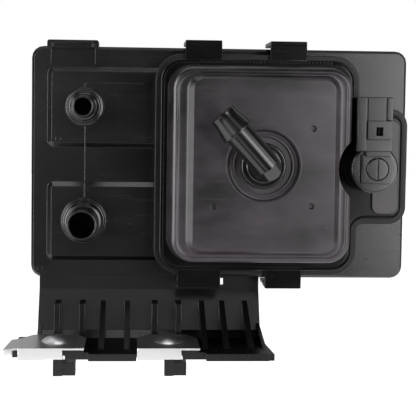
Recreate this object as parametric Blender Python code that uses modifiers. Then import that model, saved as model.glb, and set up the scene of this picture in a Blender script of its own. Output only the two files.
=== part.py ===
"""Charcoal canister of a car's fuel system, with its leak check module, as a Blender model.

Everything is laid out in the case's own frame: X to the right and Z up over the front face, Y from the
front face into the case, so the ports and the module stand out towards -Y. The whole canister then hangs
from one empty, which puts the middle of the bracket shelf's underside at the origin.
"""
import math

import bmesh
import bpy
from mathutils import Matrix, Vector

# Running clearance between neighbouring pieces, and how far joined shapes reach into each other
GAP = 0.0003
SINK = 0.001

# How finely round shapes are divided
CORNER_STEPS = 4
SMALL_CORNER_STEPS = 2
LEAST_ROUNDING = 0.0002
ROUND_SIDES = 32
MEDIUM_SIDES = 24
SMALL_SIDES = 16
PIN_SIDES = 12
HOLE_SIDES = 10
O_RING_SECTION_SIDES = 8

# Case moulding
CASE_WIDTH = 0.2184
CASE_HEIGHT = 0.1338
CASE_DEPTH = 0.215
CASE_CORNER = 0.0068
CASE_WALL = 0.0032
CASE_EDGE = 0.0015
WELD_FLANGE_OUT = 0.0030
WELD_FLANGE_THICK = 0.0045

# Raised panels of the front face, over the two charcoal chambers
PANEL_HEIGHT = 0.0025
PANEL_SLOPE = 0.0027
PANEL_FROM_LEFT = 0.0091
PANEL_CORNER = 0.0040
PANEL_FROM_TOP = 0.0118
PANEL_FROM_BOTTOM = 0.0101
PANEL_OVER_PARTITION = 0.0100
PANEL_UNDER_PARTITION = 0.0099

# Chambers, their beds and what holds them
PARTITION_Z = -0.0012
PARTITION_WALL = 0.0030
CHAMBER_CORNER = 0.0040
FRONT_PLENUM = 0.0060
FILTER_THICK = 0.0055
SPRING_ROOM = 0.0356
PLATE_THICK = 0.0030
PLATE_HOLE = 0.0035
PLATE_HOLES_ACROSS = 7
PLATE_HOLES_DOWN = 2
PLATE_HOLE_PITCH = 0.0240
SPRING_RADIUS = 0.0150
SPRING_WIRE = 0.0010
SPRING_TURNS = 4
SPRING_POINTS_A_TURN = 12

# Rear cover
COVER_PLATE = 0.0032
COVER_PLUG_DEPTH = 0.0050
COVER_RIB_HEIGHT = 0.0045
COVER_RIB_THICK = 0.0025
COVER_RIBS = 5
COVER_RIB_MARGIN = 0.0252
COVER_BAR_HEIGHT = 0.0036

# Hose ports, moulded with the case
SMALL_PORT_FROM_LEFT = 0.0306
SMALL_PORT_FROM_TOP = 0.0347
SMALL_PORT_LENGTH = 0.0220
SMALL_PORT_SHOULDER = 0.0063
SMALL_PORT_BASE_R = 0.0111
SMALL_PORT_STEP_R = 0.0080
SMALL_PORT_TUBE_R = 0.0062
SMALL_PORT_BORE_R = 0.0049
BIG_PORT_FROM_LEFT = 0.0306
BIG_PORT_FROM_BOTTOM = 0.0334
BIG_PORT_LENGTH = 0.0260
BIG_PORT_SHOULDER = 0.0073
BIG_PORT_BASE_R = 0.0133
BIG_PORT_STEP_R = 0.0109
BIG_PORT_TUBE_R = 0.0086
BIG_PORT_BORE_R = 0.0073
PORT_BASE_HEIGHT = 0.0012
PORT_BEAD = 0.0006
PORT_BEAD_BACK = 0.0030

# Mounting tab on the top edge
TAB_FROM_LEFT = 0.0089
TAB_WIDTH = 0.0295
TAB_RISE = 0.0035
TAB_LIP = 0.0043
TAB_DEPTH = 0.0070
TAB_STANDS_OUT = 0.0020
TAB_POCKET_DROP = 0.0100
TAB_POCKET_DEPTH = 0.0016
TAB_SIDE = 0.0021
TAB_CORNER = 0.0012

# Bracket skirt and its shelf
SKIRT_FROM_LEFT = 0.0051
SKIRT_WIDTH = 0.1280
SKIRT_WALL = 0.0032
SKIRT_SET_BACK = 0.0002
SKIRT_FOLD_DROP = 0.0068
WALL_DROP = 0.0220
WALL_LEAN = 0.0090
SHELF_FILLET = 0.0038
SHELF_DEPTH = 0.0480
SHELF_THICK = 0.0039
SHELF_FLARE = 0.0027
RIB_THICK = 0.0031
RIB_TOP_DROP = 0.0060
RIB_REACH = 0.0385
RIB_TO_CLIP = 0.0010
RIB_PLACES = (0.0114, 0.0256, 0.0373, 0.0512, 0.0669, 0.0805, 0.0942, 0.1060, 0.1194)
END_RIB_THICK = 0.0020
END_RIB_TOP_DROP = 0.0185
END_RIB_INSET = 0.0003
HOOK_WINDOW_HEIGHT = 0.0042
HOOK_WINDOW_SPARE = 0.0026

# Spring clips on the shelf, and the hooks below it
CLIP_SHEET = 0.0010
CLIP_LEFT_PLACE = -0.0063
CLIP_RIGHT_PLACE = 0.0569
CLIP_FACE_WIDTH = 0.0235
CLIP_NOTCH_WIDTH = 0.0135
CLIP_NOTCH_DEPTH = 0.0034
CLIP_TO_WALL = 0.0052
CLIP_CHAMFER_WIDTH = 0.0055
CLIP_CHAMFER_DEPTH = 0.0085
CLIP_SEAT_RISE = 0.0021
CLIP_SEAT_MARGIN = 0.0006
CLIP_EAR = 0.0030
CLIP_LEFT_WIDTH = 0.0350
CLIP_RIGHT_WIDTH = 0.0334
CLIP_LOWER_WIDTH = 0.0140
CLIP_LOWER_REACH = 0.0180
CLIP_BUMP_R = 0.0085
CLIP_BUMP_HEIGHT = 0.0016
CLIP_BUMP_OFF_MIDDLE = 0.0010
CLIP_LEFT_BUMP = 0.0196
CLIP_RIGHT_BUMP = 0.0177
CLIP_BUMP_STEPS = 3
WING_WIDTH = 0.0080
WING_TAB_DROP = 0.0034
WING_TAPER = 0.0020
HOOK_DROP = 0.0090
HOOK_POST = 0.0049
HOOK_WIDTH = 0.0119
HOOK_DEPTH = 0.0080
HOOK_STEP = 0.0020
HOOK_FOOT_SET_BACK = 0.0012
LEFT_HOOK_PLACE = 0.0119
RIGHT_HOOK_PLACE = 0.0716

# Leak check module: outline of tray, seal and cover
MODULE_LEFT = -0.0383
MODULE_RIGHT = 0.0781
MODULE_FROM_TOP = 0.0042
MODULE_FROM_BOTTOM = 0.0039
MODULE_CORNER = 0.0149
LOBE_RIGHT = 0.1064
LOBE_FROM_TOP = 0.0297
LOBE_FROM_BOTTOM = 0.0299
LOBE_CORNER = 0.0098
LOBE_INNER_CORNER = 0.0035
SEAT_INSET = 0.0060
TRAY_FLOOR = 0.0025
TRAY_HEIGHT = 0.0087
TRAY_RIM = 0.0052
SEAL_BAND = 0.0026
SEAL_WIDTH = 0.0048
SEAL_EDGE = 0.0004
FLANGE_TOP = 0.0160
FLANGE_THICK = 0.0024
FLANGE_EDGE = 0.0006

# Dome of the cover
DOME_FROM_LEFT = 0.0070
DOME_FROM_RIGHT = 0.0070
DOME_FROM_TOP = 0.0063
DOME_FROM_BOTTOM = 0.0086
DOME_CORNER = 0.0135
SHOULDER_IN = (0.0020, 0.0020, 0.0013)
EDGE_IN = (0.0038, 0.0038, 0.0027)
FOOT_IN = (0.0082, 0.0062, 0.0050)
PLATEAU_IN = (0.0118, 0.0087, 0.0080)
DOME_HEIGHT = 0.0220
SHOULDER_HEIGHT = 0.0184
EDGE_HEIGHT = 0.0196
COVER_WALL = 0.0022
POCKET_R = 0.0208
POCKET_WALL = 0.0022
LOBE_PAD_TO_STEP = 0.0073
LOBE_PAD_HEIGHT = 0.0018
LOBE_PAD_INSET = 0.0062
LOBE_PAD_CORNER = 0.0045
DIMPLE_R = 0.0015
DIMPLE_TIP_R = 0.0007
DIMPLE_DEPTH = 0.0009
DIMPLE_PLACES = ((0.0473, 0.0215), (0.0467, -0.0208), (-0.0065, -0.0213))

# Snap hooks of the cover and the lugs that they catch
HOOK_LENGTH = 0.0230
SNAP_THICK = 0.0024
SNAP_STANDOFF = 0.0010
SNAP_WIDTH = 0.0206
WIDE_SNAP_WIDTH = 0.0236
SNAP_WINDOW = 0.0120
SNAP_WINDOW_LENGTH = 0.0060
SNAP_END = 0.0022
SNAP_FOOT_ROOT = 0.0040
LUG_HEIGHT = 0.0024
TOP_SNAPS = (-0.0113, 0.0368)
BOTTOM_SNAPS = (-0.0120, 0.0357)

# Elbow nozzle
ELBOW_X = 0.0204
ELBOW_Z = 0.0011
RECESS_R = 0.0194
RECESS_STEP_R = 0.0158
RECESS_DEPTH = 0.0025
RECESS_STEP = 0.0012
RECESS_FLARE = 0.0008
ELBOW_TUBE_R = 0.0073
ELBOW_BORE_R = 0.0052
ELBOW_RISE = 0.0160
ELBOW_REACH = 0.0371
ELBOW_ANGLE = math.radians(48.3)
ELBOW_BEND_R = 0.0080
ELBOW_BEND_STEPS = 4
ELBOW_FLANGE_R = 0.0125
ELBOW_FLANGE = 0.0026
ELBOW_SPIGOT = 0.0060
BARB_LENGTH = 0.0127
BARB_TIP_R = 0.0068
BARB_R = 0.0089
O_RING_WIRE = 0.0008
O_RING_GROOVE_WIDTH = 0.0011
ELBOW_RING_R = 0.0097
AIR_FILTER_R = 0.0170
AIR_FILTER_THICK = 0.0050

# Electrical connector
CONNECTOR_X = 0.0829
CONNECTOR_Z = -0.0005
CONNECTOR_BASE_R = 0.01345
CONNECTOR_BASE_HEIGHT = 0.0137
CONNECTOR_BOSS_HEIGHT = 0.0021
CONNECTOR_SPIGOT_R = 0.0086
CONNECTOR_SPIGOT = 0.0050
CONNECTOR_RING_R = 0.0105
CONNECTOR_PLATE_LEFT = 0.0759
CONNECTOR_PLATE_WIDTH = 0.0156
CONNECTOR_PLATE_HEIGHT = 0.0162
CONNECTOR_PLATE_RISE = 0.0015
PLUG_X = 0.0840
PLUG_R = 0.0061
PLUG_THICK = 0.0034
PLUG_SLOT = 0.0011
PLUG_PROUD = 0.0008
SOCKET_LEFT = 0.0716
SOCKET_WIDTH = 0.0198
SOCKET_BOTTOM = 0.0094
SOCKET_TOP = 0.0392
SOCKET_FRONT = 0.0360
SOCKET_DEPTH = 0.0150
SOCKET_WALL = 0.0024
SOCKET_FLOOR = 0.0066
RAIL_WIDTH = 0.0049
RAIL_RISE = 0.0012
RIGHT_RAIL_WIDTH = 0.0034
LATCH_LEFT = 0.0773
LATCH_WIDTH = 0.0127
LATCH_BOTTOM = 0.0159
LATCH_HEIGHT = 0.0103
LATCH_RISE = 0.0018
LATCH_HOLE_X = 0.0837
LATCH_HOLE_UP = 0.0043
LATCH_HOLE = 0.0037
LATCH_HOLE_DEPTH = 0.0012
NECK_LEFT = 0.0773
NECK_WIDTH = 0.0134
TERMINAL = 0.0010
TERMINAL_PITCH = 0.0030
TERMINAL_COUNT = 4
TERMINAL_LENGTH = 0.0180

# Vane pump and its motor
PUMP_FROM_RIGHT = 0.0351
PUMP_FROM_TOP = 0.0277
PUMP_R = 0.0150
PUMP_BASE_THICK = 0.0015
PUMP_RING_HEIGHT = 0.0060
PUMP_CHAMBER_R = 0.0093
PUMP_OFFSET = 0.0009
PUMP_PLATE_THICK = 0.0020
ROTOR_R = 0.0079
ROTOR_SLOT = 0.0015
ROTOR_HUB_R = 0.0034
VANE_COUNT = 4
VANE_LENGTH = 0.0040
SHAFT_R = 0.0015
SHAFT_INTO_MOTOR = 0.0040
MOTOR_R = 0.0102
MOTOR_LENGTH = 0.0140
PUMP_SCREWS = 3
SCREW_CIRCLE = 0.0129
SCREW_R = 0.0011
SCREW_HEAD_R = 0.0021
SCREW_HEAD = 0.0014
SCREW_BITE = 0.0015
SCREW_TURN = math.radians(30)

# Vent valve
VALVE_FROM_LEFT = 0.0383
VALVE_FROM_BOTTOM = 0.0305
VENT_BORE_R = 0.0050
VENT_SPIGOT_R = 0.0070
VENT_SPIGOT_LENGTH = 0.0065
VENT_RING_R = 0.0084
VALVE_STROKE = 0.0018
VALVE_SEAL_R = 0.0070
VALVE_SEAL_THICK = 0.0012
PLUNGER_R = 0.0035
PLUNGER_HEAD_R = 0.0062
PLUNGER_HEAD = 0.0015
PLUNGER_LENGTH = 0.0180
BOBBIN_R = 0.0090
BOBBIN_TUBE_R = 0.0052
BOBBIN_FLANGE = 0.0012
BOBBIN_LENGTH = 0.0150
YOKE_WALL = 0.0012
YOKE_WIDTH = 0.0120
YOKE_FOOT = 0.0050
VALVE_SPRING_R = 0.0049
VALVE_SPRING_WIRE = 0.0003
VALVE_SPRING_TURNS = 3
VALVE_SPRING_HEIGHT = 0.0026

# Circuit board and pressure sensor
BOARD_FROM_RIGHT = 0.0301
BOARD_FROM_BOTTOM = 0.0300
BOARD_WIDTH = 0.0300
BOARD_HEIGHT = 0.0240
BOARD_THICK = 0.0016
BOARD_POST_R = 0.0020
BOARD_POST = 0.0040
BOARD_POST_INSET = 0.0035
SENSOR_SIDE = 0.0110
SENSOR_HEIGHT = 0.0060
SENSOR_NIPPLE_R = 0.0020
SENSOR_NIPPLE = 0.0040

# Places that follow from the sizes above
CASE_HALF_W = CASE_WIDTH / 2
CASE_HALF_H = CASE_HEIGHT / 2
PANEL_LEFT = -CASE_HALF_W + PANEL_FROM_LEFT
UPPER_PANEL_TOP = CASE_HALF_H - PANEL_FROM_TOP
UPPER_PANEL_BOTTOM = PARTITION_Z + PANEL_OVER_PARTITION
LOWER_PANEL_TOP = PARTITION_Z - PANEL_UNDER_PARTITION
LOWER_PANEL_BOTTOM = -CASE_HALF_H + PANEL_FROM_BOTTOM
SMALL_PORT_X = -CASE_HALF_W + SMALL_PORT_FROM_LEFT
SMALL_PORT_Z = CASE_HALF_H - SMALL_PORT_FROM_TOP
BIG_PORT_X = -CASE_HALF_W + BIG_PORT_FROM_LEFT
BIG_PORT_Z = -CASE_HALF_H + BIG_PORT_FROM_BOTTOM
TAB_LEFT = -CASE_HALF_W + TAB_FROM_LEFT
TAB_TOP = CASE_HALF_H + TAB_RISE
TAB_POCKET_BOTTOM = CASE_HALF_H - TAB_POCKET_DROP
COVER_RIB_PITCH = (CASE_WIDTH - 2 * COVER_RIB_MARGIN) / (COVER_RIBS - 1)
SKIRT_LEFT = -CASE_HALF_W + SKIRT_FROM_LEFT
SKIRT_RIGHT = SKIRT_LEFT + SKIRT_WIDTH
FOLD_Z = -CASE_HALF_H - SKIRT_FOLD_DROP
WALL_FOOT_Z = FOLD_Z - WALL_DROP
SHELF_TOP_Z = WALL_FOOT_Z - SHELF_FILLET
SHELF_BOTTOM_Z = SHELF_TOP_Z - SHELF_THICK
SEAT_TOP_Z = SHELF_TOP_Z + CLIP_SEAT_RISE
SEAT_BOTTOM_Z = SHELF_BOTTOM_Z + CLIP_SEAT_RISE
MOUNT_POINT = Vector(((SKIRT_LEFT + SKIRT_RIGHT) / 2, -(SHELF_DEPTH + WALL_LEAN) / 2, SHELF_BOTTOM_Z))
CLIP_LEFT_X = SKIRT_LEFT + CLIP_LEFT_PLACE
CLIP_RIGHT_X = SKIRT_LEFT + CLIP_RIGHT_PLACE
CLIP_PLATE_REACH = SHELF_DEPTH - WALL_LEAN - SHELF_FILLET - CLIP_TO_WALL
CLIP_BUMP_BACK = CLIP_PLATE_REACH / 2 + CLIP_BUMP_OFF_MIDDLE
WING_LENGTH = CLIP_PLATE_REACH - CLIP_CHAMFER_DEPTH
FILTER_Y = CASE_WALL + FRONT_PLENUM
BED_Y = FILTER_Y + FILTER_THICK + GAP
SPRING_Y = CASE_DEPTH - SPRING_ROOM
PLATE_Y = SPRING_Y - GAP - PLATE_THICK
REAR_FILTER_Y = PLATE_Y - GAP - FILTER_THICK
BED_LENGTH = REAR_FILTER_Y - GAP - BED_Y
TRAY_BACK = -PANEL_HEIGHT - GAP
TRAY_TOP = TRAY_BACK - TRAY_HEIGHT
FLOOR_Y = TRAY_BACK - TRAY_FLOOR
SEAL_Y = TRAY_TOP - GAP
FLANGE_Y = -FLANGE_TOP
DOME_TOP = FLANGE_Y - DOME_HEIGHT
RECESS_FLOOR = DOME_TOP + RECESS_DEPTH
MODULE_TOP = CASE_HALF_H - MODULE_FROM_TOP
MODULE_BOTTOM = -CASE_HALF_H + MODULE_FROM_BOTTOM
LOBE_TOP = MODULE_TOP - LOBE_FROM_TOP
LOBE_BOTTOM = MODULE_BOTTOM + LOBE_FROM_BOTTOM
DOME_SIDES = (
    MODULE_LEFT + DOME_FROM_LEFT,
    MODULE_RIGHT - DOME_FROM_RIGHT,
    MODULE_BOTTOM + DOME_FROM_BOTTOM,
    MODULE_TOP - DOME_FROM_TOP,
)
DOME_BASE_IN = (0.0, 0.0, 0.0)
LOBE_STEP_X = MODULE_RIGHT + LOBE_PAD_TO_STEP
PUMP_X = MODULE_RIGHT - PUMP_FROM_RIGHT
PUMP_Z = MODULE_TOP - PUMP_FROM_TOP
VALVE_X = MODULE_LEFT + VALVE_FROM_LEFT
VALVE_Z = MODULE_BOTTOM + VALVE_FROM_BOTTOM
BOARD_X = MODULE_RIGHT - BOARD_FROM_RIGHT
BOARD_Z = MODULE_BOTTOM + BOARD_FROM_BOTTOM
MODULE_CORNERS = (
    (MODULE_LEFT, MODULE_BOTTOM, MODULE_CORNER),
    (MODULE_RIGHT, MODULE_BOTTOM, MODULE_CORNER),
    (MODULE_RIGHT, LOBE_BOTTOM, LOBE_INNER_CORNER),
    (LOBE_RIGHT, LOBE_BOTTOM, LOBE_CORNER),
    (LOBE_RIGHT, LOBE_TOP, LOBE_CORNER),
    (MODULE_RIGHT, LOBE_TOP, LOBE_INNER_CORNER),
    (MODULE_RIGHT, MODULE_TOP, MODULE_CORNER),
    (MODULE_LEFT, MODULE_TOP, MODULE_CORNER),
)

BLACK_PLASTIC = ((0.035, 0.034, 0.036), 0.42, 0.0)
BLACK_RUBBER = ((0.012, 0.012, 0.012), 0.75, 0.0)
CHARCOAL = ((0.020, 0.020, 0.020), 0.95, 0.0)
FOAM = ((0.18, 0.18, 0.17), 0.95, 0.0)
WHITE_PLASTIC = ((0.60, 0.58, 0.52), 0.50, 0.0)
ZINC_STEEL = ((0.78, 0.79, 0.80), 0.28, 1.0)
DARK_STEEL = ((0.35, 0.35, 0.36), 0.35, 1.0)
COPPER = ((0.62, 0.28, 0.14), 0.35, 1.0)
TINNED = ((0.75, 0.74, 0.70), 0.30, 1.0)
GREEN_BOARD = ((0.02, 0.16, 0.07), 0.45, 0.0)


def clear_scene():
    """Remove whatever the file opened with."""
    for obj in list(bpy.data.objects):
        bpy.data.objects.remove(obj, do_unlink=True)


def new_collection(name, hidden=False):
    """Make a collection under the scene."""
    collection = bpy.data.collections.new(name)
    collection.hide_render = hidden
    bpy.context.scene.collection.children.link(collection)
    return collection


def paint(obj, finish):
    """Give the object a Principled material of its own."""
    colour, roughness, metallic = finish
    material = bpy.data.materials.new(obj.name)
    material.use_nodes = True
    shader = material.node_tree.nodes["Principled BSDF"]
    shader.inputs["Base Color"].default_value = (*colour, 1.0)
    shader.inputs["Roughness"].default_value = roughness
    shader.inputs["Metallic"].default_value = metallic
    obj.data.materials.clear()
    obj.data.materials.append(material)


def object_from(bm, name, at=(0, 0, 0)):
    """Close a bmesh into an object of the case's frame, with its faces pointing out."""
    bmesh.ops.recalc_face_normals(bm, faces=bm.faces)
    mesh = bpy.data.meshes.new(name)
    bm.to_mesh(mesh)
    bm.free()
    obj = bpy.data.objects.new(name, mesh)
    obj.location = at
    obj.parent = FRAME
    PARTS.objects.link(obj)
    return obj


def part(obj, finish, smooth_angle=None):
    """Dress a finished piece, smooth where it is round."""
    paint(obj, finish)
    if smooth_angle:
        obj.data.shade_smooth()
        obj.data.set_sharp_from_angle(angle=math.radians(smooth_angle))
    return obj


def as_tool(obj):
    """Move an object among the cutters, which are not part of the canister."""
    PARTS.objects.unlink(obj)
    CUTTERS.objects.link(obj)
    obj.hide_render = True
    obj.display_type = "WIRE"
    return obj


def combine(target, tool, operation):
    """Cut the tool out of the target, or join it on."""
    modifier = target.modifiers.new(tool.name, "BOOLEAN")
    modifier.operation = operation
    modifier.solver = "EXACT"
    modifier.object = as_tool(tool)


def cut(target, *tools):
    """Cut each tool out of the target."""
    for tool in tools:
        combine(target, tool, "DIFFERENCE")


def join(target, *tools):
    """Join each tool onto the target."""
    for tool in tools:
        combine(target, tool, "UNION")


def corner_outline(corners, inset=0.0, steps=CORNER_STEPS):
    """Points of a polygon with round corners, given anticlockwise as (x, z, radius), moved in by inset."""
    points = []
    count = len(corners)
    for index, (x, z, radius) in enumerate(corners):
        here = Vector((x, z))
        before = Vector(corners[index - 1][:2])
        after = Vector(corners[(index + 1) % count][:2])
        along = (here - before).normalized()
        onward = (after - here).normalized()
        inward = Vector((-along.y, along.x))
        inward_next = Vector((-onward.y, onward.x))
        turn = 1.0 if along.x * onward.y - along.y * onward.x > 0 else -1.0
        middle = (inward + inward_next) / (1 + inward.dot(inward_next))
        rounding = max(radius - turn * inset, LEAST_ROUNDING)
        centre = here + inset * middle + turn * rounding * middle
        for step in range(steps + 1):
            spoke = inward.slerp(inward_next, step / steps)
            points.append(centre - turn * rounding * spoke)
    return points


def rectangle(left, right, bottom, top, radius):
    """Corners of a rectangle, for corner_outline."""
    return ((left, bottom, radius), (right, bottom, radius), (right, top, radius), (left, top, radius))


def ring(corners, y, inset=0.0):
    """An outline as points at one depth."""
    return [Vector((p.x, y, p.y)) for p in corner_outline(corners, inset)]


def dome_ring(level, y, less=0.0):
    """One level of the dome, given by how far its sides and corners lie in from the foot's."""
    across, up, corner = level
    left, right, bottom, top = DOME_SIDES
    sides = (left + across, right - across, bottom + up, top - up)
    return ring(rectangle(*sides, DOME_CORNER - corner), y, less)


def loft(name, rings, closed=False):
    """Skin rings of equal count: capped at both ends, or closed on itself as a band."""
    bm = bmesh.new()
    loops = [[bm.verts.new(point) for point in points] for points in rings]
    pairs = list(zip(loops, loops[1:]))
    if closed:
        pairs.append((loops[-1], loops[0]))
    for near, far in pairs:
        for index in range(len(near)):
            following = (index + 1) % len(near)
            bm.faces.new((near[index], near[following], far[following], far[index]))
    if not closed:
        bm.faces.new(loops[0])
        bm.faces.new(list(reversed(loops[-1])))
    return object_from(bm, name)


def slab(name, outline, start, end, normal="Y"):
    """A flat outline filled as a 2D curve and given thickness from start to end along one axis."""
    curve = bpy.data.curves.new(name, "CURVE")
    curve.dimensions = "2D"
    curve.fill_mode = "BOTH"
    curve.extrude = abs(end - start) / 2
    for loop in outline if isinstance(outline[0], list) else [outline]:
        spline = curve.splines.new("POLY")
        spline.points.add(len(loop) - 1)
        spline.use_cyclic_u = True
        for point, (across, up) in zip(spline.points, loop):
            point.co = (across, up, 0.0, 1.0)
    flat = bpy.data.objects.new(name, curve)
    bpy.context.scene.collection.objects.link(flat)
    bpy.context.view_layer.update()
    graph = bpy.context.evaluated_depsgraph_get()
    mesh = bpy.data.meshes.new_from_object(flat.evaluated_get(graph))
    bpy.data.objects.remove(flat, do_unlink=True)
    middle = (start + end) / 2
    sideways = ((0, 0, 1, 0), (1, 0, 0, 0), (0, 1, 0, 0), (0, 0, 0, 1))
    turns = {
        "Y": Matrix.Translation((0, middle, 0)) @ Matrix.Rotation(math.radians(90), 4, "X"),
        "X": Matrix.Translation((middle, 0, 0)) @ Matrix(sideways),
        "Z": Matrix.Translation((0, 0, middle)),
    }
    bm = bmesh.new()
    bm.from_mesh(mesh)
    bpy.data.meshes.remove(mesh)
    bmesh.ops.remove_doubles(bm, verts=bm.verts, dist=1e-6)
    bmesh.ops.transform(bm, matrix=turns[normal], verts=bm.verts)
    return object_from(bm, name)


def block(name, x, y, z, at=(0, 0, 0)):
    """A box between pairs of limits."""
    bm = bmesh.new()
    bmesh.ops.create_cube(bm, size=1.0)
    size = [abs(b - a) for a, b in (x, y, z)]
    middle = [(a + b) / 2 for a, b in (x, y, z)]
    matrix = Matrix.Translation(middle) @ Matrix.Diagonal((*size, 1.0))
    bmesh.ops.transform(bm, matrix=matrix, verts=bm.verts)
    return object_from(bm, name, at)


def turned(name, profile, centre, sides=ROUND_SIDES, axis=(0, -1, 0)):
    """A turned solid from (radius, height) points, outer side first, top to bottom, about an axis."""
    mesh = bpy.data.meshes.new(name)
    edges = [(index, (index + 1) % len(profile)) for index in range(len(profile))]
    if profile[0][0] == 0.0 and profile[-1][0] == 0.0:
        edges.pop()
    mesh.from_pydata([(radius, 0.0, height) for radius, height in profile], edges, [])
    blank = bpy.data.objects.new(name, mesh)
    bpy.context.scene.collection.objects.link(blank)
    screw = blank.modifiers.new("Turn", "SCREW")
    screw.steps = sides
    screw.render_steps = sides
    screw.use_merge_vertices = True
    screw.merge_threshold = 1e-6
    bpy.context.view_layer.update()
    graph = bpy.context.evaluated_depsgraph_get()
    skin = bpy.data.meshes.new_from_object(blank.evaluated_get(graph))
    bpy.data.objects.remove(blank, do_unlink=True)
    bm = bmesh.new()
    bm.from_mesh(skin)
    bpy.data.meshes.remove(skin)
    bmesh.ops.remove_doubles(bm, verts=bm.verts, dist=1e-6)
    turn = Vector(axis).to_track_quat("Z", "X").to_matrix().to_4x4()
    bmesh.ops.transform(bm, matrix=Matrix.Translation(centre) @ turn, verts=bm.verts)
    return object_from(bm, name)


def rod(name, radius, centre, start, end, sides=ROUND_SIDES):
    """A round bar along Y, between two depths."""
    bm = bmesh.new()
    length = abs(end - start)
    bmesh.ops.create_cone(bm, cap_ends=True, segments=sides, radius1=radius, radius2=radius, depth=length)
    place = Matrix.Translation((centre[0], (start + end) / 2, centre[1]))
    turn = Matrix.Rotation(math.radians(90), 4, "X")
    bmesh.ops.transform(bm, matrix=place @ turn, verts=bm.verts)
    return object_from(bm, name)


def wire(name, points, radius, resolution=2):
    """A bent wire or tube as a curve with a round section, made a mesh so that it can be cut."""
    curve = bpy.data.curves.new(name, "CURVE")
    curve.dimensions = "3D"
    curve.bevel_depth = radius
    curve.bevel_resolution = resolution
    curve.use_fill_caps = True
    spline = curve.splines.new("POLY")
    spline.points.add(len(points) - 1)
    for place, point in zip(spline.points, points):
        place.co = (*point, 1.0)
    bent = bpy.data.objects.new(name, curve)
    bpy.context.scene.collection.objects.link(bent)
    bpy.context.view_layer.update()
    graph = bpy.context.evaluated_depsgraph_get()
    mesh = bpy.data.meshes.new_from_object(bent.evaluated_get(graph))
    bpy.data.objects.remove(bent, do_unlink=True)
    bm = bmesh.new()
    bm.from_mesh(mesh)
    bpy.data.meshes.remove(mesh)
    bmesh.ops.remove_doubles(bm, verts=bm.verts, dist=1e-6)
    return object_from(bm, name)


def coil(name, centre, radius, wire_radius, turns, start, end, resolution=1):
    """A compression spring along Y whose end turns lie within start and end."""
    count = turns * SPRING_POINTS_A_TURN
    length = end - start - 2 * wire_radius
    points = []
    for index in range(count + 1):
        share = index / count
        angle = math.tau * turns * share
        across = centre[0] + radius * math.cos(angle)
        up = centre[1] + radius * math.sin(angle)
        points.append((across, start + wire_radius + length * share, up))
    return wire(name, points, wire_radius, resolution)


def o_ring(name, centre, radius, y):
    """A rubber ring of octagonal section about an axis along Y, with its middle at depth y."""
    angles = [math.tau * (index + 0.5) / O_RING_SECTION_SIDES for index in range(O_RING_SECTION_SIDES)]
    profile = [(radius + O_RING_WIRE * math.sin(a), O_RING_WIRE * math.cos(a)) for a in angles]
    return turned(name, profile, (centre[0], y, centre[1]), MEDIUM_SIDES)


def merged(name, pieces):
    """Several separate shapes as one object."""
    bm = bmesh.new()
    for piece in pieces:
        bm.from_mesh(piece.data)
        bpy.data.objects.remove(piece, do_unlink=True)
    return object_from(bm, name)


def chambers():
    """(name, bottom, top) of the two charcoal chambers."""
    inside = CASE_HALF_H - CASE_WALL
    return (
        ("upper", PARTITION_Z + PARTITION_WALL / 2, inside),
        ("lower", -inside, PARTITION_Z - PARTITION_WALL / 2),
    )


def chamber_outline(bottom, top, less=0.0):
    """Section of a chamber, or of what slides in it with some clearance."""
    side = CASE_HALF_W - CASE_WALL
    return corner_outline(rectangle(-side, side, bottom, top, CHAMBER_CORNER), less)


def port_profile(base, step, tube, shoulder, length):
    """Outer profile of a hose port: foot ring, shoulder, tube, and a bead behind the mouth."""
    bead = length - PORT_BEAD_BACK
    return [
        (0.0, length),
        (tube - PORT_BEAD, length),
        (tube, length - PORT_BEAD),
        (tube, bead),
        (tube - PORT_BEAD, bead - 2 * PORT_BEAD),
        (tube - PORT_BEAD, shoulder),
        (step, shoulder - PORT_BEAD),
        (step, PORT_BASE_HEIGHT + PORT_BEAD),
        (base - PORT_BEAD, PORT_BASE_HEIGHT),
        (base, PORT_BASE_HEIGHT / 2),
        (base, -SINK),
        (0.0, -SINK),
    ]


def make_port(case, name, x, z, length, outside, bore):
    """Join one hose port to the front wall and bore it through into its chamber."""
    stand = turned(name, port_profile(*outside, length - PANEL_HEIGHT), (x, -PANEL_HEIGHT, z))
    join(case, stand)
    cut(case, rod(name + "_bore", bore, (x, z), -length - SINK, CASE_WALL + SINK))


def front_panel(name, bottom, top):
    """One raised panel, sloped at its edges, reaching under the module."""
    corners = rectangle(PANEL_LEFT, MODULE_RIGHT - SEAT_INSET, bottom, top, PANEL_CORNER)
    rings = [ring(corners, SINK), ring(corners, 0.0), ring(corners, -PANEL_HEIGHT, PANEL_SLOPE)]
    return loft(name, rings)


def skirt_section():
    """Side view of the bracket skirt and shelf, as (y, z)."""
    back = SKIRT_WALL
    return [
        (SKIRT_SET_BACK, -CASE_HALF_H + CASE_WALL / 2),
        (SKIRT_SET_BACK, FOLD_Z),
        (-WALL_LEAN, WALL_FOOT_Z),
        (-WALL_LEAN - SHELF_FILLET, SHELF_TOP_Z),
        (-SHELF_DEPTH, SHELF_TOP_Z),
        (-SHELF_DEPTH, SHELF_BOTTOM_Z),
        (-WALL_LEAN, SHELF_BOTTOM_Z),
        (back - WALL_LEAN, WALL_FOOT_Z),
        (back, FOLD_Z - SINK),
        (back, -CASE_HALF_H + CASE_WALL / 2),
    ]


def gusset(name, middle, thickness, top_drop, reach):
    """A triangular rib between the skirt's wall and its shelf."""
    top = FOLD_Z - top_drop
    lean = WALL_LEAN * top_drop / WALL_DROP
    section = [
        (-lean + SINK / 2, top),
        (-reach, SHELF_TOP_Z - SINK / 2),
        (-WALL_LEAN - SHELF_FILLET, SHELF_TOP_Z - 2 * SINK),
        (-WALL_LEAN + SINK, WALL_FOOT_Z - SINK),
    ]
    return slab(name, section, middle - thickness / 2, middle + thickness / 2, "X")


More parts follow.
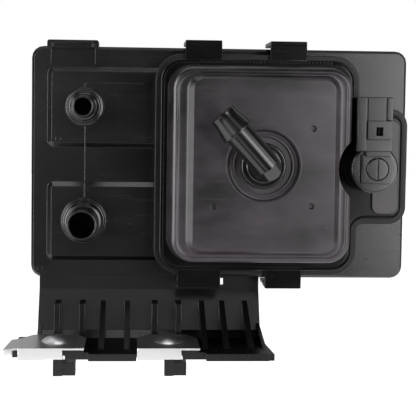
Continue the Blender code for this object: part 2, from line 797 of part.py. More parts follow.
def rib_reach(middle, longest):
    """How far forward a rib runs: right along the shelf, or up to the clip that lies in its way."""
    for left, width in ((CLIP_LEFT_X, CLIP_LEFT_WIDTH), (CLIP_RIGHT_X, CLIP_RIGHT_WIDTH)):
        if left - RIB_THICK < middle < left + width + RIB_THICK / 2:
            return SHELF_DEPTH - CLIP_PLATE_REACH - RIB_TO_CLIP
    return longest


def shelf_flare():
    """The wedge by which the shelf grows wider towards its front, at its right end."""
    front = -SHELF_DEPTH + SKIRT_SET_BACK
    outline = [
        (SKIRT_RIGHT - SINK, -WALL_LEAN),
        (SKIRT_RIGHT - SINK, front),
        (SKIRT_RIGHT + SHELF_FLARE, front),
        (SKIRT_RIGHT - SINK / 2, -WALL_LEAN),
    ]
    return slab("shelf_flare", outline, SHELF_BOTTOM_Z + SKIRT_SET_BACK, SHELF_TOP_Z - SKIRT_SET_BACK, "Z")


def make_clip_seat(case, name, face_left, plate_width, ear):
    """Step the shelf up under a clip, clear the room of the clip's lower leaf and notch the front edge."""
    face_right = face_left + CLIP_FACE_WIDTH
    left = face_left - ear
    back = -SHELF_DEPTH + CLIP_PLATE_REACH - CLIP_SEAT_MARGIN
    sides = (left, face_left + plate_width - CLIP_SEAT_MARGIN)
    levels = (SEAT_BOTTOM_Z - SINK / 2, SEAT_TOP_Z)
    join(case, block(f"{name}_seat", sides, (-SHELF_DEPTH + SKIRT_SET_BACK, back), levels))
    front = -SHELF_DEPTH - SINK
    room = ((left - SINK, face_right + SINK), (front, back + SINK), (SHELF_BOTTOM_Z - SINK, SEAT_BOTTOM_Z))
    cut(case, block(f"{name}_leaf_room", *room))
    notch = ((face_right, face_right + CLIP_NOTCH_WIDTH), (front, -SHELF_DEPTH + CLIP_NOTCH_DEPTH))
    cut(case, block(f"{name}_notch", *notch, (SHELF_BOTTOM_Z - SINK, SEAT_TOP_Z + SINK)))


def make_shelf_hook(case, name, left):
    """Join a hook below the shelf: a post from the clip's seat and a foot that is set back from it."""
    front = -SHELF_DEPTH + CLIP_NOTCH_DEPTH
    low = SHELF_BOTTOM_Z - HOOK_DROP
    foot_top = SHELF_BOTTOM_Z - HOOK_STEP
    post = [
        (left, SEAT_BOTTOM_Z + SINK),
        (left, low),
        (left + HOOK_WIDTH, low),
        (left + HOOK_WIDTH, foot_top),
        (left + HOOK_POST, foot_top),
        (left + HOOK_POST, SEAT_BOTTOM_Z + SINK),
    ]
    hook = slab(f"{name}_hook", post, front, front + HOOK_DEPTH, "Y")
    sides = (left + HOOK_POST, left + HOOK_WIDTH + SINK)
    levels = (low - SINK, foot_top + SINK)
    cut(hook, block(f"{name}_hook_step", sides, (front - SINK, front + HOOK_FOOT_SET_BACK), levels))
    join(case, hook)


def make_bracket(case):
    """Join the skirt, its ribs, clip seats and hooks to the case."""
    skirt = slab("skirt", skirt_section(), SKIRT_LEFT, SKIRT_RIGHT, "X")
    join(skirt, shelf_flare())
    end = END_RIB_INSET + END_RIB_THICK / 2
    ribs = []
    for index, place in enumerate(RIB_PLACES):
        middle = SKIRT_LEFT + place
        ribs.append(gusset(f"rib_{index}", middle, RIB_THICK, RIB_TOP_DROP, rib_reach(middle, RIB_REACH)))
    for middle in (SKIRT_LEFT + end, SKIRT_RIGHT - end):
        reach = rib_reach(middle, RIB_REACH + SHELF_FILLET)
        ribs.append(gusset("end_rib", middle, END_RIB_THICK, END_RIB_TOP_DROP, reach))
    join(case, skirt, merged("ribs", ribs))
    make_clip_seat(case, "left", CLIP_LEFT_X, CLIP_LEFT_WIDTH, CLIP_EAR)
    make_clip_seat(case, "right", CLIP_RIGHT_X, CLIP_RIGHT_WIDTH, -CLIP_SEAT_MARGIN)
    make_shelf_hook(case, "left", SKIRT_LEFT + LEFT_HOOK_PLACE)
    make_shelf_hook(case, "right", SKIRT_LEFT + RIGHT_HOOK_PLACE)


def make_tab(case):
    """Join the mounting tab to the case's top edge and sink the pocket below its lip."""
    right = TAB_LEFT + TAB_WIDTH
    sides = rectangle(TAB_LEFT, right, CASE_HALF_H - CASE_WALL / 2, TAB_TOP, TAB_CORNER)
    outline = corner_outline(sides, steps=SMALL_CORNER_STEPS)
    join(case, slab("tab", outline, -TAB_STANDS_OUT, TAB_DEPTH))
    inside = (TAB_LEFT + TAB_SIDE, right - TAB_SIDE)
    pocket = ((-TAB_STANDS_OUT - SINK, TAB_POCKET_DEPTH), (TAB_POCKET_BOTTOM, TAB_TOP - TAB_LIP))
    cut(case, block("tab_pocket", inside, *pocket))


def make_lugs(case):
    """Join the lugs that the cover's snap hooks catch, on the case's top and bottom walls."""
    lugs = []
    half = SNAP_WINDOW / 2 - 2 * GAP
    end = FLANGE_Y + HOOK_LENGTH - SNAP_END
    depths = (end - SNAP_WINDOW_LENGTH + 2 * GAP, end - GAP)
    for side, places in ((1, TOP_SNAPS), (-1, BOTTOM_SNAPS)):
        wall = side * CASE_HALF_H
        levels = (wall - side * SINK, wall + side * LUG_HEIGHT)
        for index, middle in enumerate(places):
            lugs.append(block(f"lug_{side}_{index}", (middle - half, middle + half), depths, levels))
    join(case, merged("lugs", lugs))


def make_case():
    """The case moulding: box, chambers, panels, ports, tab, bracket and lugs in one piece."""
    outline = rectangle(-CASE_HALF_W, CASE_HALF_W, -CASE_HALF_H, CASE_HALF_H, CASE_CORNER)
    flange = CASE_DEPTH - WELD_FLANGE_THICK
    rings = [
        ring(outline, 0.0, CASE_EDGE),
        ring(outline, CASE_EDGE),
        ring(outline, flange),
        ring(outline, flange, -WELD_FLANGE_OUT),
        ring(outline, CASE_DEPTH, -WELD_FLANGE_OUT),
    ]
    case = loft("canister_case", rings)
    inside = CASE_HALF_H - CASE_WALL
    cut(case, slab("hollow", chamber_outline(-inside, inside), CASE_WALL, CASE_DEPTH + SINK))
    side = CASE_HALF_W - CASE_WALL + SINK
    levels = (PARTITION_Z - PARTITION_WALL / 2, PARTITION_Z + PARTITION_WALL / 2)
    join(case, block("partition", (-side, side), (CASE_WALL - SINK, SPRING_Y), levels))
    join(case, front_panel("upper_panel", UPPER_PANEL_BOTTOM, UPPER_PANEL_TOP))
    join(case, front_panel("lower_panel", LOWER_PANEL_BOTTOM, LOWER_PANEL_TOP))
    make_bracket(case)
    make_tab(case)
    make_lugs(case)
    small = (SMALL_PORT_BASE_R, SMALL_PORT_STEP_R, SMALL_PORT_TUBE_R, SMALL_PORT_SHOULDER)
    make_port(case, "small_port", SMALL_PORT_X, SMALL_PORT_Z, SMALL_PORT_LENGTH, small, SMALL_PORT_BORE_R)
    big = (BIG_PORT_BASE_R, BIG_PORT_STEP_R, BIG_PORT_TUBE_R, BIG_PORT_SHOULDER)
    make_port(case, "big_port", BIG_PORT_X, BIG_PORT_Z, BIG_PORT_LENGTH, big, BIG_PORT_BORE_R)
    spigot = VENT_SPIGOT_R + GAP
    depths = (-PANEL_HEIGHT - SINK, CASE_WALL + SINK)
    cut(case, rod("vent_hole", spigot, (VALVE_X, VALVE_Z), *depths, MEDIUM_SIDES))
    half = WIDE_SNAP_WIDTH / 2 + 2 * GAP
    across = (BOTTOM_SNAPS[0] - half, BOTTOM_SNAPS[0] + half + HOOK_WINDOW_SPARE)
    window = (-CASE_HALF_H - GAP - HOOK_WINDOW_HEIGHT, -CASE_HALF_H - GAP)
    cut(case, block("hook_window", across, (-SINK, SKIRT_WALL + SINK), window))
    return part(case, BLACK_PLASTIC, 30)


def make_rear_cover():
    """The welded rear cover, with its plug rim and stiffening ribs."""
    outline = rectangle(-CASE_HALF_W, CASE_HALF_W, -CASE_HALF_H, CASE_HALF_H, CASE_CORNER)
    front = CASE_DEPTH + GAP
    back = front + COVER_PLATE
    rings = [
        ring(outline, front, -WELD_FLANGE_OUT),
        ring(outline, back - CASE_EDGE, -WELD_FLANGE_OUT),
        ring(outline, back, CASE_EDGE - WELD_FLANGE_OUT),
    ]
    cover = loft("rear_cover", rings)
    inside = CASE_HALF_H - CASE_WALL
    side = CASE_HALF_W - CASE_WALL
    plug_outline = rectangle(-side, side, -inside, inside, CHAMBER_CORNER)
    plug = [
        ring(plug_outline, y, less)
        for y, less in (
            (front + SINK, GAP),
            (front - COVER_PLUG_DEPTH, GAP),
            (front - COVER_PLUG_DEPTH, GAP + COVER_PLATE),
            (front + SINK, GAP + COVER_PLATE),
        )
    ]
    join(cover, loft("plug_rim", plug, closed=True))
    ribs = []
    half_rib = COVER_RIB_THICK / 2
    depths = (back - SINK, back + COVER_RIB_HEIGHT)
    for index in range(COVER_RIBS):
        middle = (index - (COVER_RIBS - 1) / 2) * COVER_RIB_PITCH
        sides = (middle - half_rib, middle + half_rib)
        ribs.append(block(f"cover_rib_{index}", sides, depths, (-inside, inside)))
    join(cover, merged("cover_ribs", ribs))
    reach = COVER_RIBS * COVER_RIB_PITCH / 2
    bar = ((-reach, reach), (back - SINK, back + COVER_BAR_HEIGHT))
    join(cover, block("cover_bar", *bar, (-half_rib, half_rib)))
    return part(cover, BLACK_PLASTIC, 30)


def make_pressure_plate(name, bottom, top):
    """The perforated plate that a spring presses against the bed."""
    middle = (bottom + top) / 2
    loops = [[(p.x, p.y) for p in chamber_outline(bottom, top, GAP)]]
    for row in range(PLATE_HOLES_DOWN):
        for column in range(PLATE_HOLES_ACROSS):
            across = (column - (PLATE_HOLES_ACROSS - 1) / 2) * PLATE_HOLE_PITCH
            up = middle + (row - (PLATE_HOLES_DOWN - 1) / 2) * PLATE_HOLE_PITCH
            angles = [math.tau * step / HOLE_SIDES for step in range(HOLE_SIDES)]
            loops.append([(across + PLATE_HOLE * math.cos(a), up + PLATE_HOLE * math.sin(a)) for a in angles])
    return slab(name, loops, PLATE_Y, PLATE_Y + PLATE_THICK)


def make_beds():
    """Filters, charcoal, pressure plate and spring of each chamber."""
    for name, bottom, top in chambers():
        outline = chamber_outline(bottom, top, GAP)
        part(slab(f"front_filter_{name}", outline, FILTER_Y, FILTER_Y + FILTER_THICK), FOAM)
        part(slab(f"charcoal_bed_{name}", outline, BED_Y, BED_Y + BED_LENGTH), CHARCOAL)
        part(slab(f"rear_filter_{name}", outline, REAR_FILTER_Y, REAR_FILTER_Y + FILTER_THICK), FOAM)
        part(make_pressure_plate(f"pressure_plate_{name}", bottom, top), WHITE_PLASTIC)
        centre = (0.0, (bottom + top) / 2)
        size = (SPRING_RADIUS, SPRING_WIRE, SPRING_TURNS)
        part(coil(f"bed_spring_{name}", centre, *size, SPRING_Y, CASE_DEPTH), DARK_STEEL, 60)


def make_tray():
    """The module's tray: floor, rim, vent spigot, pump seat and board posts."""
    tray = loft("module_tray", [ring(MODULE_CORNERS, TRAY_BACK), ring(MODULE_CORNERS, TRAY_TOP)])
    hollow = [ring(MODULE_CORNERS, FLOOR_Y, TRAY_RIM), ring(MODULE_CORNERS, TRAY_TOP - SINK, TRAY_RIM)]
    cut(tray, loft("tray_hollow", hollow))
    centre = (VALVE_X, VALVE_Z)
    join(tray, rod("vent_spigot", VENT_SPIGOT_R, centre, FLOOR_Y + SINK, VENT_SPIGOT_LENGTH, MEDIUM_SIDES))
    posts = []
    levels = (FLOOR_Y + SINK, FLOOR_Y - BOARD_POST)
    for side in (-1, 1):
        for end in (-1, 1):
            x = BOARD_X + side * (BOARD_WIDTH / 2 - BOARD_POST_INSET)
            z = BOARD_Z + end * (BOARD_HEIGHT / 2 - BOARD_POST_INSET)
            posts.append(rod(f"post_{side}_{end}", BOARD_POST_R, (x, z), *levels, PIN_SIDES))
    join(tray, merged("board_posts", posts))
    cut(tray, rod("vent_bore", VENT_BORE_R, centre, FLOOR_Y - SINK, VENT_SPIGOT_LENGTH + SINK, MEDIUM_SIDES))
    cut(tray, screw_holes("tray_screw_holes", FLOOR_Y - SINK, FLOOR_Y + SCREW_BITE + GAP))
    return part(tray, BLACK_PLASTIC, 30)


def screw_places():
    """(index, (x, z)) of each pump screw."""
    for index in range(PUMP_SCREWS):
        angle = math.tau * index / PUMP_SCREWS + SCREW_TURN
        yield index, (PUMP_X + SCREW_CIRCLE * math.cos(angle), PUMP_Z + SCREW_CIRCLE * math.sin(angle))


def screw_holes(name, start, end):
    """Clearance holes for the pump's screws, between two depths."""
    rods = []
    for index, at in screw_places():
        rods.append(rod(f"{name}_{index}", SCREW_R + GAP, at, start, end, PIN_SIDES))
    return merged(name, rods)


def make_seal():
    """The rubber seal between tray and cover, whose rounded rim shows round the flange."""
    front = FLANGE_Y + FLANGE_THICK + GAP
    rings = [
        ring(MODULE_CORNERS, SEAL_Y, SEAL_EDGE),
        ring(MODULE_CORNERS, SEAL_Y - SEAL_EDGE),
        ring(MODULE_CORNERS, front + SEAL_EDGE),
        ring(MODULE_CORNERS, front, SEAL_EDGE),
        ring(MODULE_CORNERS, front, SEAL_WIDTH),
        ring(MODULE_CORNERS, SEAL_Y, SEAL_WIDTH),
    ]
    return part(loft("module_seal", rings, closed=True), BLACK_RUBBER, 30)


def snap_hook(name, middle, side, width=SNAP_WIDTH):
    """A latch leg along the case's wall, with a foot that reaches out from the flange."""
    wall = CASE_HALF_H + SNAP_STANDOFF
    levels = (side * wall, side * (wall + SNAP_THICK))
    sides = (middle - width / 2, middle + width / 2)
    leg = block(name, sides, (FLANGE_Y, FLANGE_Y + HOOK_LENGTH), levels)
    edge = MODULE_TOP if side > 0 else MODULE_BOTTOM
    root = edge - side * (SEAL_BAND + SNAP_FOOT_ROOT)
    depths = (FLANGE_Y + GAP, FLANGE_Y + FLANGE_THICK - GAP)
    join(leg, block(name + "_foot", sides, depths, (root, side * (wall + SINK))))
    window = (middle - SNAP_WINDOW / 2, middle + SNAP_WINDOW / 2)
    end = FLANGE_Y + HOOK_LENGTH - SNAP_END
    through = (side * (wall - SINK), side * (wall + SNAP_THICK + SINK))
    cut(leg, block(name + "_window", window, (end - SNAP_WINDOW_LENGTH, end), through))
    return leg


def make_cover():
    """The module's cover: flange, dome with its recess, connector pocket and snap hooks."""
    inset = SEAL_BAND + GAP
    rings = [
        ring(MODULE_CORNERS, FLANGE_Y + FLANGE_THICK, inset),
        ring(MODULE_CORNERS, FLANGE_Y + FLANGE_EDGE, inset),
        ring(MODULE_CORNERS, FLANGE_Y, inset + FLANGE_EDGE),
    ]
    cover = loft("module_cover", rings)
    dome = [
        dome_ring(DOME_BASE_IN, FLANGE_Y + SINK),
        dome_ring(SHOULDER_IN, FLANGE_Y - SHOULDER_HEIGHT),
        dome_ring(EDGE_IN, FLANGE_Y - EDGE_HEIGHT),
        dome_ring(FOOT_IN, FLANGE_Y - EDGE_HEIGHT),
        dome_ring(PLATEAU_IN, DOME_TOP),
    ]
    join(cover, loft("dome", dome))
    pocket_centre = (CONNECTOR_X, CONNECTOR_Z)
    cut(cover, rod("pocket", POCKET_R, pocket_centre, DOME_TOP - SINK, FLANGE_Y))
    upright = (LOBE_BOTTOM + LOBE_PAD_INSET, LOBE_TOP - LOBE_PAD_INSET)
    pad_outline = rectangle(LOBE_STEP_X, LOBE_RIGHT - LOBE_PAD_INSET, *upright, LOBE_PAD_CORNER)
    pad = [ring(pad_outline, FLANGE_Y + SINK), ring(pad_outline, FLANGE_Y - LOBE_PAD_HEIGHT)]
    join(cover, loft("lobe_pad", pad))
    boss_face = FLANGE_Y - CONNECTOR_BOSS_HEIGHT
    join(cover, rod("connector_boss", CONNECTOR_BASE_R, pocket_centre, boss_face, FLANGE_Y + SINK))
    void = loft("dome_void", [
        dome_ring(DOME_BASE_IN, FLANGE_Y + FLANGE_THICK + SINK, COVER_WALL),
        dome_ring(SHOULDER_IN, FLANGE_Y - SHOULDER_HEIGHT, COVER_WALL),
        dome_ring(FOOT_IN, FLANGE_Y - EDGE_HEIGHT + COVER_WALL, COVER_WALL),
        dome_ring(PLATEAU_IN, DOME_TOP + COVER_WALL, COVER_WALL),
    ])
    under_flange = FLANGE_Y + FLANGE_THICK + 2 * SINK
    cut(void, rod("pocket_wall", POCKET_R + POCKET_WALL, pocket_centre, DOME_TOP - SINK, under_flange))
    elbow_centre = (ELBOW_X, ELBOW_Z)
    under_recess = RECESS_FLOOR + COVER_WALL
    cut(void, rod("recess_wall", RECESS_R + COVER_WALL, elbow_centre, DOME_TOP - SINK, under_recess))
    cut(cover, void)
    dish = [
        (0.0, RECESS_DEPTH + SINK),
        (RECESS_R, RECESS_DEPTH + SINK),
        (RECESS_R, RECESS_DEPTH - RECESS_FLARE),
        (RECESS_R - RECESS_FLARE, RECESS_STEP),
        (RECESS_STEP_R, RECESS_STEP),
        (RECESS_STEP_R, 0.0),
        (0.0, 0.0),
    ]
    cut(cover, turned("recess", dish, (ELBOW_X, RECESS_FLOOR, ELBOW_Z)))
    hole = ELBOW_TUBE_R + GAP
    cut(cover, rod("elbow_hole", hole, elbow_centre, RECESS_FLOOR - SINK, under_recess + SINK))
    hole = CONNECTOR_SPIGOT_R + GAP
    cut(cover, rod("connector_hole", hole, pocket_centre, boss_face - SINK, under_flange))
    cone = [
        (0.0, SINK),
        (DIMPLE_R, SINK),
        (DIMPLE_R, 0.0),
        (DIMPLE_TIP_R, -DIMPLE_DEPTH),
        (0.0, -DIMPLE_DEPTH),
    ]
    dimples = []
    for index, (x, z) in enumerate(DIMPLE_PLACES):
        dimples.append(turned(f"dimple_{index}", cone, (x, DOME_TOP, z), PIN_SIDES))
    cut(cover, merged("dimples", dimples))
    for index, middle in enumerate(TOP_SNAPS):
        join(cover, snap_hook(f"top_hook_{index}", middle, 1))
    for index, (middle, width) in enumerate(zip(BOTTOM_SNAPS, (WIDE_SNAP_WIDTH, SNAP_WIDTH))):
        join(cover, snap_hook(f"bottom_hook_{index}", middle, -1, width))
    return part(cover, BLACK_PLASTIC, 35)


def ring_groove(name, radius, centre, y, opening):
    """A square groove that an o-ring lies in, open towards +Y at depth y."""
    inner = radius - O_RING_GROOVE_WIDTH
    outer = radius + O_RING_GROOVE_WIDTH
    depth = 2 * O_RING_WIRE + GAP
    profile = [(outer, depth), (outer, -opening), (inner, -opening), (inner, depth)]
    return turned(name, profile, (centre[0], y, centre[1]), MEDIUM_SIDES)


def make_elbow():
    """The hose elbow: spigot and flange in the recess, riser, bend, arm and barb, bored through."""
    floor = RECESS_FLOOR - GAP
    axis_y = DOME_TOP - ELBOW_RISE
    direction = Vector((-math.cos(ELBOW_ANGLE), 0.0, math.sin(ELBOW_ANGLE)))
    base = Vector((ELBOW_X, 0.0, ELBOW_Z))
    centre = base + Vector((0, axis_y + ELBOW_BEND_R, 0)) + direction * ELBOW_BEND_R
    path = [base + Vector((0, RECESS_FLOOR + ELBOW_SPIGOT, 0))]
    outwards = Vector((0, -1, 0))
    for step in range(ELBOW_BEND_STEPS + 1):
        angle = math.radians(90) * step / ELBOW_BEND_STEPS
        path.append(centre + ELBOW_BEND_R * (outwards * math.sin(angle) - direction * math.cos(angle)))
    tip = base + Vector((0, axis_y, 0)) + direction * ELBOW_REACH
    path.append(tip - direction * SINK)
    elbow = wire("elbow_nozzle", path, ELBOW_TUBE_R, 5)
    disc_profile = [
        (0.0, ELBOW_FLANGE),
        (ELBOW_FLANGE_R - SINK, ELBOW_FLANGE),
        (ELBOW_FLANGE_R, ELBOW_FLANGE - SINK),
        (ELBOW_FLANGE_R, 0.0),
        (0.0, 0.0),
    ]
    disc = turned("elbow_flange", disc_profile, (ELBOW_X, floor, ELBOW_Z))
    barb_profile = [
        (0.0, BARB_LENGTH),
        (BARB_TIP_R - PORT_BEAD, BARB_LENGTH),
        (BARB_TIP_R, BARB_LENGTH - PORT_BEAD),
        (BARB_R, PORT_BEAD),
        (BARB_R, 0.0),
        (0.0, 0.0),
    ]
    barb = turned("barb", barb_profile, tip - direction * BARB_LENGTH, axis=direction)
    join(elbow, disc, barb)
    bore_path = [path[0] + Vector((0, SINK, 0))] + path[1:-1] + [tip + direction * SINK]
    cut(elbow, wire("elbow_bore", bore_path, ELBOW_BORE_R, 4))
    cut(elbow, ring_groove("elbow_groove", ELBOW_RING_R, (ELBOW_X, ELBOW_Z), floor, SINK))
    part(elbow, BLACK_PLASTIC, 35)
    part(o_ring("elbow_o_ring", (ELBOW_X, ELBOW_Z), ELBOW_RING_R, floor - O_RING_WIRE), BLACK_RUBBER, 60)
    filter_top = RECESS_FLOOR + COVER_WALL + GAP
    hole = ELBOW_TUBE_R + GAP
    pad = [(AIR_FILTER_R, AIR_FILTER_THICK), (AIR_FILTER_R, 0.0), (hole, 0.0), (hole, AIR_FILTER_THICK)]
    place = (ELBOW_X, filter_top + AIR_FILTER_THICK, ELBOW_Z)
    part(turned("air_filter", pad, place, MEDIUM_SIDES), FOAM, 40)


def make_connector():
    """The connector: round base in the pocket, plate, neck, and the socket with its rails and latch."""
    centre = (CONNECTOR_X, CONNECTOR_Z)
    foot = FLANGE_Y - CONNECTOR_BOSS_HEIGHT - GAP
    top = foot - CONNECTOR_BASE_HEIGHT
    profile = [
        (0.0, CONNECTOR_BASE_HEIGHT),
        (CONNECTOR_BASE_R - SINK, CONNECTOR_BASE_HEIGHT),
        (CONNECTOR_BASE_R, CONNECTOR_BASE_HEIGHT - SINK),
        (CONNECTOR_BASE_R, 0.0),
        (0.0, 0.0),
    ]
    body = turned("connector_body", profile, (CONNECTOR_X, foot, CONNECTOR_Z))
    join(body, rod("connector_spigot", CONNECTOR_SPIGOT_R, centre, foot - SINK, foot + CONNECTOR_SPIGOT))
    half = CONNECTOR_PLATE_HEIGHT / 2
    plate_sides = (CONNECTOR_PLATE_LEFT, CONNECTOR_PLATE_LEFT + CONNECTOR_PLATE_WIDTH)
    plate_depths = (top - CONNECTOR_PLATE_RISE, top + SINK)
    join(body, block("connector_plate", plate_sides, plate_depths, (CONNECTOR_Z - half, CONNECTOR_Z + half)))
    front = -SOCKET_FRONT
    neck = ((NECK_LEFT, NECK_LEFT + NECK_WIDTH), (front + 2 * SINK, front + SOCKET_DEPTH - 2 * SINK))
    join(body, block("neck", *neck, (CONNECTOR_Z + half - SINK, LATCH_BOTTOM)))
    right = SOCKET_LEFT + SOCKET_WIDTH
    upright = (SOCKET_BOTTOM, SOCKET_TOP)
    join(body, block("socket", (SOCKET_LEFT, right), (front, front + SOCKET_DEPTH), upright))
    raised = (front - RAIL_RISE, front + SINK)
    latch_top = LATCH_BOTTOM + LATCH_HEIGHT
    left_sides = (SOCKET_LEFT + GAP, SOCKET_LEFT + RAIL_WIDTH)
    left_rail = block("left_rail", left_sides, raised, (SOCKET_BOTTOM + GAP, SOCKET_TOP - GAP))
    right_sides = (right - RIGHT_RAIL_WIDTH, right - GAP)
    right_rail = block("right_rail", right_sides, raised, (latch_top + GAP, SOCKET_TOP - GAP))
    join(body, merged("rails", [left_rail, right_rail]))
    latch = ((LATCH_LEFT, LATCH_LEFT + LATCH_WIDTH), (front - LATCH_RISE, front + SINK))
    join(body, block("latch_block", *latch, (LATCH_BOTTOM, latch_top)))
    hole_z = LATCH_BOTTOM + LATCH_HOLE_UP
    reach = LATCH_HOLE / 2
    latch_face = front - LATCH_RISE
    hole_sides = (LATCH_HOLE_X - reach, LATCH_HOLE_X + reach)
    hole_depths = (latch_face - SINK, latch_face + LATCH_HOLE_DEPTH)
    cut(body, block("latch_hole", hole_sides, hole_depths, (hole_z - reach, hole_z + reach)))
    inner_sides = (SOCKET_LEFT + SOCKET_WALL, right - SOCKET_WALL)
    inner_depths = (front + SOCKET_WALL, front + SOCKET_DEPTH - SOCKET_WALL)
    inner_levels = (SOCKET_BOTTOM + SOCKET_FLOOR, SOCKET_TOP + SINK)
    cut(body, block("socket_hollow", inner_sides, inner_depths, inner_levels))
    bottom = SOCKET_BOTTOM + SINK
    pin_y = front + SOCKET_DEPTH / 2
    slots = []
    half_pin = TERMINAL / 2
    reach = half_pin + GAP
    for index in range(TERMINAL_COUNT):
        x = (SOCKET_LEFT + right) / 2 + (index - (TERMINAL_COUNT - 1) / 2) * TERMINAL_PITCH
        around = ((x - reach, x + reach), (pin_y - reach, pin_y + reach))
        slots.append(block(f"pin_slot_{index}", *around, (bottom - GAP, bottom + SOCKET_FLOOR)))
        section = ((x - half_pin, x + half_pin), (pin_y - half_pin, pin_y + half_pin))
        part(block(f"connector_terminal_{index + 1}", *section, (bottom, bottom + TERMINAL_LENGTH)), TINNED)
    cut(body, merged("pin_slots", slots))
    plug_face = top - CONNECTOR_PLATE_RISE
    plug_place = (PLUG_X, CONNECTOR_Z)
    hole = (plug_face - SINK, plug_face + PLUG_THICK + GAP)
    cut(body, rod("plug_hole", PLUG_R + GAP, plug_place, *hole, MEDIUM_SIDES))
    cut(body, ring_groove("connector_groove", CONNECTOR_RING_R, centre, foot, SINK))
    part(body, BLACK_PLASTIC, 35)
    part(o_ring("connector_o_ring", centre, CONNECTOR_RING_R, foot - O_RING_WIRE), BLACK_RUBBER, 60)
    plug_front = plug_face - PLUG_PROUD
    plug = rod("slotted_plug", PLUG_R, plug_place, plug_front, plug_face + PLUG_THICK, MEDIUM_SIDES)
    slot_sides = (PLUG_X - PLUG_SLOT / 2, PLUG_X + PLUG_SLOT / 2)
    slot_levels = (CONNECTOR_Z - 2 * PLUG_R, CONNECTOR_Z + 2 * PLUG_R)
    cut(plug, block("plug_slot", slot_sides, (plug_front - SINK, plug_face), slot_levels))
    part(plug, BLACK_PLASTIC, 35)


def make_pump():
    """The vane pump on the tray, its motor above it, and the screws through the stack."""
    centre = (PUMP_X, PUMP_Z)
    base_back = FLOOR_Y - GAP
    base_front = base_back - PUMP_BASE_THICK
    ring_back = base_front - GAP
    ring_front = ring_back - PUMP_RING_HEIGHT
    plate_back = ring_front - GAP
    plate_front = plate_back - PUMP_PLATE_THICK
    motor_back = plate_front - GAP
    motor_front = motor_back - MOTOR_LENGTH
    through = (base_back + SINK, plate_front - SINK)
    base = rod("pump_base_plate", PUMP_R, centre, base_back, base_front)
    cut(base, screw_holes("base_holes", *through))
    part(base, DARK_STEEL, 35)
    housing = rod("pump_ring", PUMP_R, centre, ring_back, ring_front)
    chamber_centre = (PUMP_X + PUMP_OFFSET, PUMP_Z)
    chamber = rod("pump_chamber", PUMP_CHAMBER_R, chamber_centre, ring_back + SINK, ring_front - SINK)
    cut(housing, chamber, screw_holes("ring_holes", *through))
    part(housing, DARK_STEEL, 35)
    plate = rod("pump_end_plate", PUMP_R, centre, plate_back, plate_front)
    shaft_hole = rod("shaft_hole", SHAFT_R + GAP, centre, plate_back + SINK, plate_front - SINK, SMALL_SIDES)
    cut(plate, shaft_hole, screw_holes("plate_holes", *through))
    part(plate, DARK_STEEL, 35)
    motor_profile = [
        (0.0, MOTOR_LENGTH),
        (MOTOR_R - SINK, MOTOR_LENGTH),
        (MOTOR_R, MOTOR_LENGTH - SINK),
        (MOTOR_R, 0.0),
        (SHAFT_R + GAP, 0.0),
        (SHAFT_R + GAP, SHAFT_INTO_MOTOR + GAP),
        (0.0, SHAFT_INTO_MOTOR + GAP),
    ]
    part(turned("pump_motor", motor_profile, (PUMP_X, motor_back, PUMP_Z), MEDIUM_SIDES), ZINC_STEEL, 35)
    rotor_back = ring_back - GAP
    rotor_height = PUMP_RING_HEIGHT - 2 * GAP
    shaft_end = rotor_back - motor_back + SHAFT_INTO_MOTOR
    rotor_profile = [
        (0.0, shaft_end),
        (SHAFT_R, shaft_end),
        (SHAFT_R, rotor_height),
        (ROTOR_R, rotor_height),
        (ROTOR_R, 0.0),
        (0.0, 0.0),
    ]
    rotor = turned("pump_rotor", rotor_profile, (0, rotor_back, 0), MEDIUM_SIDES)
    slots = []
    slot_levels = (-ROTOR_SLOT / 2, ROTOR_SLOT / 2)
    thick = ROTOR_SLOT / 2 - GAP
    inner = ROTOR_HUB_R + GAP
    vane_depths = (rotor_back, rotor_back - rotor_height)
    for index in range(VANE_COUNT):
        turn = Matrix.Rotation(math.tau * index / VANE_COUNT, 4, "Y")
        slot = block(f"slot_{index}", (ROTOR_HUB_R, 2 * ROTOR_R), (ring_back + SINK, ring_front), slot_levels)
        slot.data.transform(turn)
        slots.append(slot)
        vane = block(f"pump_vane_{index + 1}", (inner, inner + VANE_LENGTH), vane_depths, (-thick, thick))
        vane.data.transform(turn)
        vane.location = (PUMP_X, 0, PUMP_Z)
        part(vane, CHARCOAL)
    rotor_slots = merged("rotor_slots", slots)
    rotor_slots.location = (PUMP_X, 0, PUMP_Z)
    rotor.location = (PUMP_X, 0, PUMP_Z)
    cut(rotor, rotor_slots)
    part(rotor, DARK_STEEL, 35)
    top = plate_front - GAP
    grip = top - FLOOR_Y - SCREW_BITE
    profile = [
        (0.0, SCREW_HEAD),
        (SCREW_HEAD_R, SCREW_HEAD),
        (SCREW_HEAD_R, 0.0),
        (SCREW_R, 0.0),
        (SCREW_R, grip),
        (0.0, grip),
    ]
    for index, (x, z) in screw_places():
        part(turned(f"pump_screw_{index + 1}", profile, (x, top, z), PIN_SIDES), ZINC_STEEL, 35)


